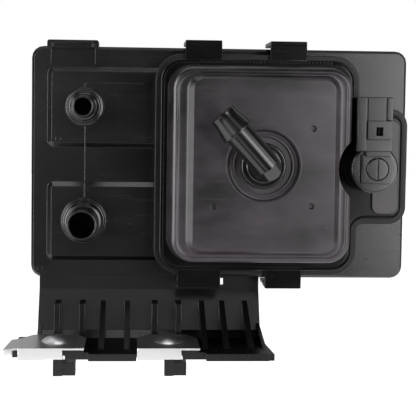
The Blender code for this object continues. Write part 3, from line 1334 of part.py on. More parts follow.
def make_valve():
    """The vent valve over the tray's spigot: sealed plunger, spring, coil and yoke."""
    centre = (VALVE_X, VALVE_Z)
    seal_back = FLOOR_Y - GAP - VALVE_STROKE
    seal_front = seal_back - VALVE_SEAL_THICK
    head_back = seal_front - GAP
    head_front = head_back - PLUNGER_HEAD
    seal = rod("valve_seal", VALVE_SEAL_R, (0, 0), seal_back, seal_front, MEDIUM_SIDES)
    seal.location = (VALVE_X, 0, VALVE_Z)
    part(seal, BLACK_RUBBER, 40)
    profile = [
        (0.0, PLUNGER_LENGTH),
        (PLUNGER_R, PLUNGER_LENGTH),
        (PLUNGER_R, PLUNGER_HEAD),
        (PLUNGER_HEAD_R, PLUNGER_HEAD),
        (PLUNGER_HEAD_R, 0.0),
        (0.0, 0.0),
    ]
    plunger = turned("valve_plunger", profile, (0, head_back, 0), MEDIUM_SIDES)
    plunger.location = (VALVE_X, 0, VALVE_Z)
    part(plunger, ZINC_STEEL, 40)
    spring_back = head_front - GAP
    spring_front = spring_back - VALVE_SPRING_HEIGHT
    size = (VALVE_SPRING_R, VALVE_SPRING_WIRE, VALVE_SPRING_TURNS)
    part(coil("valve_spring", centre, *size, spring_front, spring_back), ZINC_STEEL, 60)
    yoke_back = spring_front - GAP
    yoke_front = yoke_back - 2 * YOKE_WALL - 2 * GAP - BOBBIN_LENGTH
    bobbin_back = yoke_back - YOKE_WALL - GAP
    bore = PLUNGER_R + GAP
    core = BOBBIN_TUBE_R
    flange = BOBBIN_FLANGE
    bobbin_profile = [
        (BOBBIN_R, BOBBIN_LENGTH),
        (BOBBIN_R, BOBBIN_LENGTH - flange),
        (core, BOBBIN_LENGTH - flange),
        (core, flange),
        (BOBBIN_R, flange),
        (BOBBIN_R, 0.0),
        (bore, 0.0),
        (bore, BOBBIN_LENGTH),
    ]
    bobbin_place = (VALVE_X, bobbin_back, VALVE_Z)
    part(turned("coil_bobbin", bobbin_profile, bobbin_place, MEDIUM_SIDES), WHITE_PLASTIC, 40)
    low = flange + GAP
    high = BOBBIN_LENGTH - flange - GAP
    winding = [(BOBBIN_R - GAP, high), (BOBBIN_R - GAP, low), (core + GAP, low), (core + GAP, high)]
    part(turned("coil_winding", winding, bobbin_place, MEDIUM_SIDES), COPPER, 40)
    inner = BOBBIN_R + GAP
    outer = inner + YOKE_WALL
    foot = FLOOR_Y - GAP
    toe = outer + YOKE_FOOT
    loop = [
        (outer, foot),
        (outer, yoke_front),
        (-outer, yoke_front),
        (-outer, foot),
        (-toe, foot),
        (-toe, foot - YOKE_WALL),
        (-outer - YOKE_WALL, foot - YOKE_WALL),
        (-outer - YOKE_WALL, yoke_front - YOKE_WALL),
        (outer + YOKE_WALL, yoke_front - YOKE_WALL),
        (outer + YOKE_WALL, foot - YOKE_WALL),
        (toe, foot - YOKE_WALL),
        (toe, foot),
    ]
    shifted = [(VALVE_X + x, y) for x, y in loop]
    half = YOKE_WIDTH / 2
    yoke = slab("valve_yoke", shifted, VALVE_Z - half, VALVE_Z + half, "Z")
    bridge_front = yoke_back - YOKE_WALL
    bridge_sides = (VALVE_X - outer - SINK / 2, VALVE_X + outer + SINK / 2)
    bridge_levels = (VALVE_Z - half + GAP, VALVE_Z + half - GAP)
    join(yoke, block("yoke_bridge", bridge_sides, (yoke_back, bridge_front), bridge_levels))
    cut(yoke, rod("yoke_hole", bore, centre, yoke_back + SINK, bridge_front - SINK, MEDIUM_SIDES))
    part(yoke, DARK_STEEL)
    ring_y = -PANEL_HEIGHT
    lip = VENT_RING_R + O_RING_GROOVE_WIDTH
    part(o_ring("vent_o_ring", centre, VENT_RING_R, ring_y + GAP + O_RING_WIRE), BLACK_RUBBER, 60)
    depth = 2 * O_RING_WIRE + 2 * GAP
    seat = rod("vent_counterbore", lip, centre, ring_y - SINK, ring_y + depth, MEDIUM_SIDES)
    cut(bpy.data.objects["canister_case"], seat)


def make_board():
    """The circuit board on its posts, with the pressure sensor on it."""
    back = FLOOR_Y - BOARD_POST - GAP
    front = back - BOARD_THICK
    sides = (BOARD_X - BOARD_WIDTH / 2, BOARD_X + BOARD_WIDTH / 2)
    levels = (BOARD_Z - BOARD_HEIGHT / 2, BOARD_Z + BOARD_HEIGHT / 2)
    part(block("circuit_board", sides, (back, front), levels), GREEN_BOARD)
    half = SENSOR_SIDE / 2
    sensor_back = front - GAP
    sensor_front = sensor_back - SENSOR_HEIGHT
    around = ((BOARD_X - half, BOARD_X + half), (sensor_back, sensor_front))
    sensor = block("pressure_sensor", *around, (BOARD_Z - half, BOARD_Z + half))
    nipple = (sensor_front + SINK, sensor_front - SENSOR_NIPPLE)
    join(sensor, rod("sensor_nipple", SENSOR_NIPPLE_R, (BOARD_X, BOARD_Z), *nipple, PIN_SIDES))
    part(sensor, BLACK_PLASTIC, 35)


def make_clip(name, face_left, plate_width, bump_across, wing):
    """A spring steel clip pushed over the shelf's front edge, with a pressed bump on its upper leaf."""
    front = -SHELF_DEPTH - GAP
    top = SEAT_TOP_Z + GAP
    low = SEAT_BOTTOM_Z - GAP
    back = front + CLIP_PLATE_REACH
    right = face_left + plate_width
    outline = [
        (face_left, front - CLIP_SHEET),
        (right, front - CLIP_SHEET),
        (right, back - CLIP_CHAMFER_DEPTH),
        (right - CLIP_CHAMFER_WIDTH, back),
        (face_left + CLIP_CHAMFER_WIDTH, back),
        (face_left, back - CLIP_CHAMFER_DEPTH),
    ]
    clip = slab(name, outline, top, top + CLIP_SHEET, "Z")
    face_right = face_left + CLIP_FACE_WIDTH
    section = [
        (front - CLIP_SHEET, top + CLIP_SHEET / 2),
        (front - CLIP_SHEET, low - CLIP_SHEET),
        (front + CLIP_LOWER_REACH, low - CLIP_SHEET),
        (front + CLIP_LOWER_REACH, low),
        (front, low),
        (front, top + CLIP_SHEET / 2),
    ]
    lower_left = face_left + GAP
    lower = slab(f"{name}_lower", section, lower_left, lower_left + CLIP_LOWER_WIDTH, "X")
    face_levels = (low - CLIP_SHEET / 2, top + CLIP_SHEET / 2)
    face = block(f"{name}_face", (face_left, face_right), (front - CLIP_SHEET, front), face_levels)
    join(clip, lower, face)
    dome = []
    for step in range(CLIP_BUMP_STEPS + 1):
        angle = math.radians(90) * (1 - step / CLIP_BUMP_STEPS)
        dome.append((CLIP_BUMP_R * math.cos(angle), CLIP_SHEET + CLIP_BUMP_HEIGHT * math.sin(angle)))
    dome[0] = (0.0, CLIP_SHEET + CLIP_BUMP_HEIGHT)
    dome.append((CLIP_BUMP_R, CLIP_SHEET / 2))
    dome.append((0.0, CLIP_SHEET / 2))
    bump = (face_left + bump_across, front + CLIP_BUMP_BACK, top)
    join(clip, turned(f"{name}_bump", dome, bump, MEDIUM_SIDES, axis=(0, 0, 1)))
    if wing:
        tip = face_left - WING_WIDTH
        wing_back = front + WING_LENGTH
        plate = [
            (tip, front + SINK),
            (face_left + SINK, front - CLIP_SHEET / 2),
            (face_left + SINK, wing_back),
            (tip + WING_TAPER, wing_back),
        ]
        join(clip, slab(f"{name}_wing", plate, top + GAP / 3, top + CLIP_SHEET - GAP / 3, "Z"))
        fold = ((tip + GAP, face_left - CLIP_EAR - GAP), (front + SINK + GAP, front + SINK + CLIP_SHEET))
        join(clip, block(f"{name}_wing_tab", *fold, (top - WING_TAB_DROP, top + CLIP_SHEET / 2)))
    return part(clip, ZINC_STEEL, 35)


clear_scene()
PARTS = new_collection("charcoal_canister")
CUTTERS = new_collection("cutters", hidden=True)
FRAME = bpy.data.objects.new("canister_frame", None)
FRAME.location = -MOUNT_POINT
PARTS.objects.link(FRAME)

make_case()
make_rear_cover()
make_beds()
make_tray()
make_seal()
make_cover()
make_elbow()
make_connector()
make_pump()
make_valve()
make_board()
make_clip("spring_clip_left", CLIP_LEFT_X, CLIP_LEFT_WIDTH, CLIP_LEFT_BUMP, wing=True)
make_clip("spring_clip_right", CLIP_RIGHT_X, CLIP_RIGHT_WIDTH, CLIP_RIGHT_BUMP, wing=False)
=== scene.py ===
"""Looks of the charcoal canister: moulded shells, hose ports, elbow, connector and clips in a white studio.

Sizes are metres. Pieces are laid out in the case's own frame, with X to the right and Z up over the front
face and Y from that face into the case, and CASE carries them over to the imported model.
"""
import logging
import math
from dataclasses import dataclass, field
from enum import Enum
from typing import Iterable, Optional, Sequence

import bmesh
import bpy
from bmesh.types import BMesh
from bpy.types import Material, Node, NodeSocket, NodeTree, Object
from mathutils import Matrix, Vector


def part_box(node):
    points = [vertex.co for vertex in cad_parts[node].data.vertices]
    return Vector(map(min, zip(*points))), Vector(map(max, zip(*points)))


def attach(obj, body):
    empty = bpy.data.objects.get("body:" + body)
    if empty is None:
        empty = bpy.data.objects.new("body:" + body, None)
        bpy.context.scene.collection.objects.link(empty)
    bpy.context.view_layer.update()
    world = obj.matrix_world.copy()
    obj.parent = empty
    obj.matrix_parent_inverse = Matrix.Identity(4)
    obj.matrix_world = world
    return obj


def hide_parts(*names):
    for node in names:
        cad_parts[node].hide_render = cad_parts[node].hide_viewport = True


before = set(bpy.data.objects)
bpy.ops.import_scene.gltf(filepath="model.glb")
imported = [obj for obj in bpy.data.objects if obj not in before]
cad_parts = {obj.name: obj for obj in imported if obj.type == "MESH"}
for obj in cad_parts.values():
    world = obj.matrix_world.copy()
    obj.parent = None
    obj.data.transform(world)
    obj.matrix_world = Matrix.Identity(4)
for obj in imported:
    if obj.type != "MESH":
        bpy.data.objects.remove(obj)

LOG = logging.getLogger("canister")
ROOT = "canister"
GAP = 0.0003
OVERLAP = 0.001
SMALLEST_ROUNDING = 0.0001
MERGE_REACH = 1e-7
WELD_REACH = 2e-6
ROUND_ANGLE = 32.0
CREASE_ANGLE = 15.0
FLAT_ANGLE = 0.5
WHITE = (1.0, 1.0, 1.0, 1.0)
BLACK = (0.0, 0.0, 0.0, 1.0)

Pair = tuple[float, float]
Triple = tuple[float, float, float]
Quad = tuple[float, float, float, float]
Corners = Sequence[Triple]


class Axis(Enum):
    """The direction in which an outline is given thickness."""

    ACROSS = "X"
    UP = "Z"


class Joining(Enum):
    """What a tool does to the piece that it meets."""

    CUT = "DIFFERENCE"
    ADD = "UNION"


@dataclass(frozen=True)
class CaseFrame:
    """Where the case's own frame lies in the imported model.

    Attributes:
        origin: The middle of the case's front face.
    """

    origin: Vector

    @classmethod
    def from_model(cls, filter_depth: float = 0.0092) -> "CaseFrame":
        """Find the case's frame from the rear cover and the front filter.

        Args:
            filter_depth: How far the front filter lies behind the case's front face.

        Returns:
            The frame of the case.
        """
        low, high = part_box("rear_cover")
        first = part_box("front_filter_upper")[0]
        return cls(Vector(((low.x + high.x) / 2, first.y - filter_depth, (low.z + high.z) / 2)))

    def at(self, x: float, y: float, z: float) -> Vector:
        """Return a place of the case's frame as a place of the model."""
        return self.origin + Vector((x, y, z))


CASE = CaseFrame.from_model()


def rounded(corners: Corners, inset: float = 0.0, steps: int = 14) -> list[Pair]:
    """Trace a polygon with round corners.

    Args:
        corners: Corners as (x, z, radius), anticlockwise.
        inset: How far the outline is moved inwards.
        steps: Divisions of each corner.

    Returns:
        The outline's points.
    """
    points = []
    count = len(corners)
    for index, (x, z, radius) in enumerate(corners):
        here = Vector((x, z))
        along = (here - Vector(corners[index - 1][:2])).normalized()
        onward = (Vector(corners[(index + 1) % count][:2]) - here).normalized()
        inward = Vector((-along.y, along.x))
        inward_next = Vector((-onward.y, onward.x))
        turn = 1.0 if along.x * onward.y - along.y * onward.x > 0 else -1.0
        middle = (inward + inward_next) / (1 + inward.dot(inward_next))
        rounding = max(radius - turn * inset, SMALLEST_ROUNDING)
        centre = here + inset * middle + turn * rounding * middle
        for step in range(steps + 1):
            place = centre - turn * rounding * inward.slerp(inward_next, step / steps)
            points.append((place.x, place.y))
    return points


def rectangle(left: float, right: float, bottom: float, top: float, radius: float) -> Corners:
    """Return a rectangle's corners for rounded."""
    return ((left, bottom, radius), (right, bottom, radius), (right, top, radius), (left, top, radius))


def span(middle: float, width: float) -> Pair:
    """Return where a width begins and ends about its middle."""
    return middle - width / 2, middle + width / 2


def softened(
    levels: Sequence[Sequence[float]], reach: float, steps: int = 4, largest: float = 0.45
) -> list[list[float]]:
    """Replace each inner corner of a run of levels with a short curve.

    Args:
        levels: Points of any dimension, in order.
        reach: How far from its corner each curve starts.
        steps: Divisions of each curve.
        largest: The largest share of a side that one curve may take.

    Returns:
        The points of the softened run.
    """
    result = [list(levels[0])]
    for before, here, after in zip(levels, levels[1:], levels[2:]):
        ends = []
        for other in (before, after):
            side = math.dist(here, other)
            share = min(reach / side, largest)
            ends.append([h + (o - h) * share for h, o in zip(here, other)])
        for step in range(steps + 1):
            t = step / steps
            weights = ((1 - t) ** 2, 2 * t * (1 - t), t * t)
            places = zip(ends[0], here, ends[1])
            result.append([sum(w * v for w, v in zip(weights, place)) for place in places])
    result.append(list(levels[-1]))
    return result


def place_mesh(bm: BMesh, name: str) -> Object:
    """Turn a bmesh into an object of the scene.

    Args:
        bm: The mesh, which is used up.
        name: Name of the object.

    Returns:
        The new object.
    """
    mesh = bpy.data.meshes.new(name)
    bm.to_mesh(mesh)
    bm.free()
    obj = bpy.data.objects.new(name, mesh)
    bpy.context.scene.collection.objects.link(obj)
    return obj


def dress(obj: Object, material: Material) -> None:
    """Give the whole of an object one finish.

    Args:
        obj: The object.
        material: Its material.
    """
    obj.data.materials.clear()
    obj.data.materials.append(material)
    for polygon in obj.data.polygons:
        polygon.material_index = 0


def set_inputs(node: Node, **values: object) -> None:
    """Set a node's inputs.

    Args:
        node: The node.
        values: The inputs, with _ for each space of a name.
    """
    for name, value in values.items():
        node.inputs[name.replace("_", " ")].default_value = value


def plain_material(name: str, **values: object) -> Material:
    """Make a material of one Principled shader.

    Args:
        name: Its name.
        values: The shader's inputs, with _ for each space of a name.

    Returns:
        The material.
    """
    material = bpy.data.materials.new(name)
    material.use_nodes = True
    set_inputs(material.node_tree.nodes["Principled BSDF"], **values)
    return material


def weigh_normals(obj: Object, weight: int, keep_sharp: bool) -> None:
    """Let large faces shade flat beside the rounded ones.

    Args:
        obj: The object.
        weight: How far the larger face decides.
        keep_sharp: True to keep edges that are marked sharp.
    """
    weighted = obj.modifiers.new("flat faces", "WEIGHTED_NORMAL")
    weighted.keep_sharp = keep_sharp
    weighted.weight = weight


def soften_node(node: Object, material: Material, width: float) -> None:
    """Round the crisp edges of a carried-over node and dress it.

    Args:
        node: The node's object.
        material: Its material.
        width: Width of its rounded edges.
    """
    weld = node.modifiers.new("weld", "WELD")
    weld.merge_threshold = WELD_REACH
    plain = node.modifiers.new("whole faces", "DECIMATE")
    plain.decimate_type = "DISSOLVE"
    plain.angle_limit = math.radians(FLAT_ANGLE)
    bevel = node.modifiers.new("soft edges", "BEVEL")
    bevel.width = width
    bevel.segments = 2
    bevel.limit_method = "ANGLE"
    bevel.angle_limit = math.radians(CREASE_ANGLE)
    bevel.use_clamp_overlap = True
    weigh_normals(node, weight=100, keep_sharp=False)
    node.data.shade_smooth()
    dress(node, material)


class Workshop:
    """Makes meshes of the case's frame and turns them into pieces of the model."""

    @staticmethod
    def close(bm: BMesh, name: str) -> Object:
        """Turn a bmesh of the case's frame into an object of the model.

        Args:
            bm: The mesh, which is used up.
            name: Name of the object.

        Returns:
            The new object, linked to the scene.
        """
        bmesh.ops.remove_doubles(bm, verts=bm.verts, dist=MERGE_REACH)
        bmesh.ops.recalc_face_normals(bm, faces=bm.faces)
        bmesh.ops.translate(bm, vec=CASE.origin, verts=bm.verts)
        return place_mesh(bm, name)

    @staticmethod
    def skin(name: str, rings: Sequence[Sequence[Triple]], band: bool = False) -> Object:
        """Skin rings of equal count.

        Args:
            name: Name of the object.
            rings: The rings, each a closed loop of points.
            band: True to close the skin on itself, False to cap both ends.

        Returns:
            The skinned solid.
        """
        bm = bmesh.new()
        loops = [[bm.verts.new(point) for point in points] for points in rings]
        pairs = list(zip(loops, loops[1:]))
        if band:
            pairs.append((loops[-1], loops[0]))
        for near, far in pairs:
            for index in range(len(near)):
                after = (index + 1) % len(near)
                bm.faces.new((near[index], near[after], far[after], far[index]))
        if not band:
            bm.faces.new(loops[0])
            bm.faces.new(list(reversed(loops[-1])))
        return Workshop.close(bm, name)

    @staticmethod
    def lathe(
        name: str,
        profile: Sequence[Pair],
        centre: Triple,
        axis: Triple = (0, -1, 0),
        sides: int = 96,
        hollow: bool = False,
    ) -> Object:
        """Turn a profile about an axis.

        Args:
            name: Name of the object.
            profile: Points as (radius, height) along the axis.
            centre: Where height is zero on the axis.
            axis: Direction in which height grows.
            sides: Divisions round the axis.
            hollow: True if the profile closes on itself without meeting the axis.

        Returns:
            The turned solid.
        """
        bm = bmesh.new()
        upright = Vector(axis).normalized()
        first = upright.orthogonal().normalized()
        second = upright.cross(first)
        loops = []
        for radius, height in profile:
            middle = Vector(centre) + upright * height
            if radius < MERGE_REACH:
                loops.append([bm.verts.new(middle)])
                continue
            loop = []
            for index in range(sides):
                angle = math.tau * index / sides
                spoke = first * math.cos(angle) + second * math.sin(angle)
                loop.append(bm.verts.new(middle + spoke * radius))
            loops.append(loop)
        pairs = list(zip(loops, loops[1:]))
        if hollow:
            pairs.append((loops[-1], loops[0]))
        for near, far in pairs:
            for index in range(sides):
                after = (index + 1) % sides
                if len(near) == 1 and len(far) == 1:
                    continue
                if len(near) == 1:
                    bm.faces.new((near[0], far[after], far[index]))
                elif len(far) == 1:
                    bm.faces.new((near[index], near[after], far[0]))
                else:
                    bm.faces.new((near[index], near[after], far[after], far[index]))
        if not hollow:
            for loop in (loops[0], loops[-1]):
                if len(loop) > 1:
                    bm.faces.new(loop)
        return Workshop.close(bm, name)

    @staticmethod
    def hoop(
        name: str,
        radii: Pair,
        levels: Pair,
        centre: Triple,
        soft: float = 0.0001,
        steps: int = 2,
        sides: int = 40,
    ) -> Object:
        """Make a low ring that faces the front, with a rounded section.

        Args:
            name: Name of the object.
            radii: Its inner and outer radius.
            levels: Where its section begins and ends over the centre.
            centre: The ring's middle.
            soft: Rounding of its edges.
            steps: Divisions of the rounding.
            sides: Divisions round the ring.

        Returns:
            The ring.
        """
        inner, outer = radii
        low, high = levels
        profile = softened([(inner, low), (inner, high), (outer, high), (outer, low)], soft, steps)
        return Workshop.lathe(name, profile, centre, sides=sides, hollow=True)

    @staticmethod
    def slab(name: str, outline: Sequence[Pair], start: float, end: float, axis: Axis) -> Object:
        """Give a flat outline thickness along one axis.

        Args:
            name: Name of the object.
            outline: Points over the two other axes, in the order X, Y, Z.
            start: Where the slab begins on its axis.
            end: Where it ends.
            axis: The axis of its thickness.

        Returns:
            The slab.
        """
        rings = []
        for level in (start, end):
            if axis is Axis.ACROSS:
                rings.append([(level, a, b) for a, b in outline])
            else:
                rings.append([(a, b, level) for a, b in outline])
        return Workshop.skin(name, rings)

    @staticmethod
    def block(name: str, x: Pair, y: Pair, z: Pair, edge: float = 0.0) -> Object:
        """Make a box with rounded edges.

        Args:
            name: Name of the object.
            x: Limits across.
            y: Limits in depth.
            z: Limits in height.
            edge: Radius of its edges.

        Returns:
            The box.
        """
        bm = bmesh.new()
        bmesh.ops.create_cube(bm, size=1.0)
        size = [abs(b - a) for a, b in (x, y, z)]
        middle = [(a + b) / 2 for a, b in (x, y, z)]
        place = Matrix.Translation(middle) @ Matrix.Diagonal((*size, 1.0))
        bmesh.ops.transform(bm, matrix=place, verts=bm.verts)
        if edge:
            settings = {"segments": 3, "profile": 0.5, "affect": "EDGES", "clamp_overlap": True}
            bmesh.ops.bevel(bm, geom=bm.edges[:], offset=edge, **settings)
        return Workshop.close(bm, name)

    @staticmethod
    def combine(target: Object, tools: Iterable[Object], how: Joining) -> Object:
        """Cut tools out of a piece or add them to it, for good.

        Args:
            target: The piece.
            tools: The tools, which are used up.
            how: Whether they cut or add.

        Returns:
            The piece, with its new mesh.
        """
        for tool in tools:
            step = target.modifiers.new("step", "BOOLEAN")
            step.operation = how.value
            step.solver = "EXACT"
            step.object = tool
            bpy.context.view_layer.update()
            graph = bpy.context.evaluated_depsgraph_get()
            mesh = bpy.data.meshes.new_from_object(target.evaluated_get(graph))
            target.modifiers.clear()
            old = target.data
            target.data = mesh
            bpy.data.meshes.remove(old)
            bpy.data.objects.remove(tool, do_unlink=True)
        return target

    @staticmethod
    def merge(name: str, pieces: Sequence[Object]) -> Object:
        """Put separate shapes into one object.

        Args:
            name: Name of the object.
            pieces: The shapes, which are used up.

        Returns:
            The object that holds them all.
        """
        bm = bmesh.new()
        for piece in pieces:
            bm.from_mesh(piece.data)
            bpy.data.objects.remove(piece, do_unlink=True)
        bmesh.ops.recalc_face_normals(bm, faces=bm.faces)
        return place_mesh(bm, name)

    @staticmethod
    def fit(
        obj: Object,
        material: Material,
        slot: str,
        replaces: Sequence[str] = (),
        body: str = ROOT,
        angle: float = ROUND_ANGLE,
    ) -> Object:
        """slot: Not used. The record's slot that it takes its finish from.
            replaces: Nodes that it stands for.
            body: The body that it rides on.
            angle: Edges sharper than this, in degrees, stay crisp.

        Returns:
            The piece.
        """
        dress(obj, material)
        obj.data.shade_smooth()
        obj.data.set_sharp_from_angle(angle=math.radians(angle))
        weigh_normals(obj, weight=80, keep_sharp=True)
        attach(obj, body)
        if replaces:
            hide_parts(*replaces)
        LOG.info("%s: %d faces", obj.name, len(obj.data.polygons))
        return obj


@dataclass(frozen=True)
class Socket:
    """One named socket of a node group.

    Attributes:
        name: Its name.
        kind: Its type, as the interface names it.
        value: Its default value, where it is an input with one.
    """

    name: str
    kind: str = "NodeSocketFloat"
    value: Optional[float] = None


class Graph:
    """A node tree with short calls for placing and linking nodes."""

    def __init__(self, tree: NodeTree) -> None:
        """Wrap a node tree."""
        self.tree = tree

    def add(self, kind: str, **settings: object) -> Node:
        """Place a node.

        Args:
            kind: Its type, such as ShaderNodeMath.
            settings: Values of its own properties.

        Returns:
            The new node.
        """
        node = self.tree.nodes.new(kind)
        for name, value in settings.items():
            setattr(node, name, value)
        return node

    def link(self, source: NodeSocket, target: NodeSocket) -> None:
        """Link one socket to another."""
        self.tree.links.new(source, target)

    def feed(self, value: object, target: NodeSocket) -> None:
        """Give a socket a link or a plain value.

        Args:
            value: A socket to link, or a number or colour to set.
            target: The socket that takes it.
        """
        if isinstance(value, NodeSocket):
            self.link(value, target)
        else:
            target.default_value = value

    def maths(self, operation: str, a: object, b: object = 0.0, clamp: bool = False) -> NodeSocket:
        """Combine two values.

        Args:
            operation: The Math node's operation.
            a: The first value or socket.
            b: The second value or socket.
            clamp: True to keep the result between 0 and 1.

        Returns:
            The result's socket.
        """
        node = self.add("ShaderNodeMath", operation=operation, use_clamp=clamp)
        self.feed(a, node.inputs[0])
        self.feed(b, node.inputs[1])
        return node.outputs[0]

    def mix(self, share: object, first: object, second: object) -> NodeSocket:
        """Mix two colours.

        Args:
            share: How much of the second colour shows.
            first: A colour or its socket.
            second: A colour or its socket.

        Returns:
            The mixed colour's socket.
        """
        node = self.add("ShaderNodeMix", data_type="RGBA")
        self.feed(share, node.inputs[0])
        self.feed(first, node.inputs[6])
        self.feed(second, node.inputs[7])
        return node.outputs[2]

    def scaled(self, value: object, factor: float, plus: object = 0.0) -> NodeSocket:
        """Multiply a value and add to it.

        Args:
            value: The value's socket.
            factor: What it is multiplied by.
            plus: What is added, a number or a socket.

        Returns:
            The result's socket.
        """
        node = self.add("ShaderNodeMath", operation="MULTIPLY_ADD")
        for given, target in zip((value, factor, plus), node.inputs):
            self.feed(given, target)
        return node.outputs[0]

    def lay(self, mask: object, share: float, below: object, above: object) -> NodeSocket:
        """Lay one colour over another where a mask is strong.

        Args:
            mask: The mask's socket.
            share: How much of the upper colour shows at most.
            below: The lower colour or its socket.
            above: The upper colour or its socket.

        Returns:
            The mixed colour's socket.
        """
        return self.mix(self.scaled(mask, share), below, above)

    def bump(self, height: object, distance: float, normal: Optional[object] = None) -> NodeSocket:
        """Turn a height into a normal.

        Args:
            height: The height's socket, from 0 to 1.
            distance: Depth of the relief.
            normal: The normal that it is laid on, or None for the plain one.

        Returns:
            The normal's socket.
        """
        node = self.add("ShaderNodeBump")
        set_inputs(node, Strength=1.0, Distance=distance)
        self.link(height, node.inputs["Height"])
        if normal is not None:
            self.link(normal, node.inputs["Normal"])
        return node.outputs[0]

    def seen_or_mirrored(self) -> NodeSocket:
        """Return 1 for rays of the camera, mirrors and glass, and 0 for rays that only light."""
        path = self.add("ShaderNodeLightPath")
        seen = self.maths("MAXIMUM", path.outputs["Is Camera Ray"], path.outputs["Is Glossy Ray"])
        return self.maths("MAXIMUM", seen, path.outputs["Is Transmission Ray"])

    def spread(
        self, value: object, low: float, high: float, start: float = 0.0, end: float = 1.0
    ) -> NodeSocket:
        """Map a range of values onto another, clamped.

        Args:
            value: The value's socket.
            low: Lowest value of the first range.
            high: Highest value of the first range.
            start: What low becomes.
            end: What high becomes.

        Returns:
            The mapped value's socket.
        """
        node = self.add("ShaderNodeMapRange", clamp=True)
        self.feed(value, node.inputs[0])
        for index, number in enumerate((low, high, start, end), start=1):
            node.inputs[index].default_value = number
        return node.outputs[0]


class Effects:
    """Shader node groups that several finishes use, each made once."""

    def __init__(self) -> None:
        """Make all the groups."""
        self.grain = self._grain()
        self.flow = self._flow()
        self.handling = self._handling()
        self.soft_edge = self._soft_edge()
        self.crystals = self._crystals()

    @staticmethod
    def _group(name: str, inputs: Sequence[Socket], outputs: Sequence[Socket]) -> tuple[Graph, Node, Node]:
        """Start a group with its named sockets.

        Args:
            name: Name of the group.
            inputs: Its inputs.
            outputs: Its outputs.

        Returns:
            The group's graph, its input node and its output node.
        """
        tree = bpy.data.node_groups.new(name, "ShaderNodeTree")
        for way, sockets in (("INPUT", inputs), ("OUTPUT", outputs)):
            for socket in sockets:
                made = tree.interface.new_socket(socket.name, in_out=way, socket_type=socket.kind)
                if socket.value is not None:
                    made.default_value = socket.value
        graph = Graph(tree)
        return graph, graph.add("NodeGroupInput"), graph.add("NodeGroupOutput")

    @staticmethod
    def _noise(graph: Graph, scale: object, detail: float, stretch: Triple = (1, 1, 1)) -> NodeSocket:
        """Place a noise over the object's own coordinates.

        Args:
            graph: The graph to place it in.
            scale: Noise cells a metre, or a socket.
            detail: Octaves of the noise.
            stretch: Scale of each axis.

        Returns:
            The noise's value, from 0 to 1.
        """
        place = graph.add("ShaderNodeTexCoord")
        mapping = graph.add("ShaderNodeMapping")
        mapping.inputs["Scale"].default_value = stretch
        graph.link(place.outputs["Object"], mapping.inputs["Vector"])
        noise = graph.add("ShaderNodeTexNoise")
        noise.inputs["Detail"].default_value = detail
        graph.link(mapping.outputs[0], noise.inputs["Vector"])
        graph.feed(scale, noise.inputs["Scale"])
        return noise.outputs[0]

    def _grain(self) -> NodeTree:
        """Return the fine spark-eroded grain of a moulded face, as a height and a fleck mask."""
        outputs = [Socket("Height"), Socket("Fleck")]
        graph, start, end = self._group("moulded grain", [Socket("Scale", value=2600.0)], outputs)
        fine = self._noise(graph, start.outputs["Scale"], detail=3.0)
        graph.link(fine, end.inputs["Height"])
        graph.link(graph.spread(fine, low=0.62, high=0.78), end.inputs["Fleck"])
        return graph.tree

    def _flow(self) -> NodeTree:
        """Return the broad cloudy variation that a melt leaves as it fills a mould."""
        graph, start, end = self._group("melt flow", [Socket("Scale", value=22.0)], [Socket("Cloud")])
        broad = self._noise(graph, start.outputs["Scale"], detail=4.0, stretch=(1.0, 1.0, 2.2))
        graph.link(graph.spread(broad, low=0.35, high=0.70), end.inputs["Cloud"])
        return graph.tree

    def _handling(self) -> NodeTree:
        """Return the dust and rub marks of a part that has been handled, as two masks."""
        inputs = [Socket("Dust scale", value=900.0), Socket("Rub scale", value=60.0)]
        graph, start, end = self._group("handling marks", inputs, [Socket("Dust"), Socket("Rub")])
        specks = self._noise(graph, start.outputs["Dust scale"], detail=1.0)
        patches = self._noise(graph, scale=30.0, detail=2.0)
        shown = (graph.spread(specks, low=0.70, high=0.80), graph.spread(patches, low=0.5, high=0.7))
        graph.link(graph.maths("MULTIPLY", *shown), end.inputs["Dust"])
        streaks = self._noise(graph, start.outputs["Rub scale"], detail=5.0, stretch=(1.0, 1.0, 9.0))
        graph.link(graph.spread(streaks, low=0.58, high=0.74), end.inputs["Rub"])
        return graph.tree

    def _soft_edge(self) -> NodeTree:
        """Return the small rounding of every edge, as a normal, and a mask that is strong along the edges."""
        outputs = [Socket("Normal", "NodeSocketVector"), Socket("Edge")]
        graph, start, end = self._group("soft edge", [Socket("Radius", value=0.0004)], outputs)
        bevel = graph.add("ShaderNodeBevel", samples=6)
        graph.link(start.outputs["Radius"], bevel.inputs["Radius"])
        graph.link(bevel.outputs[0], end.inputs["Normal"])
        plain = graph.add("ShaderNodeNewGeometry")
        facing = graph.add("ShaderNodeVectorMath", operation="DOT_PRODUCT")
        graph.link(bevel.outputs[0], facing.inputs[0])
        graph.link(plain.outputs["Normal"], facing.inputs[1])
        graph.link(graph.spread(facing.outputs["Value"], low=0.995, high=0.86), end.inputs["Edge"])
        return graph.tree

    def _crystals(self) -> NodeTree:
        """Return the faint crystal pattern of a plated or sintered metal."""
        outputs = [Socket("Tone"), Socket("Height")]
        graph, start, end = self._group("metal crystals", [Socket("Scale", value=700.0)], outputs)
        place = graph.add("ShaderNodeTexCoord")
        cells = graph.add("ShaderNodeTexVoronoi")
        graph.link(place.outputs["Object"], cells.inputs["Vector"])
        graph.link(start.outputs["Scale"], cells.inputs["Scale"])
        split = graph.add("ShaderNodeSeparateColor")
        graph.link(cells.outputs["Color"], split.inputs[0])
        graph.link(split.outputs[0], end.inputs["Tone"])
        lines = self._noise(graph, scale=3000.0, detail=2.0, stretch=(1.0, 12.0, 1.0))
        graph.link(lines, end.inputs["Height"])
        return graph.tree


EFFECTS = Effects()


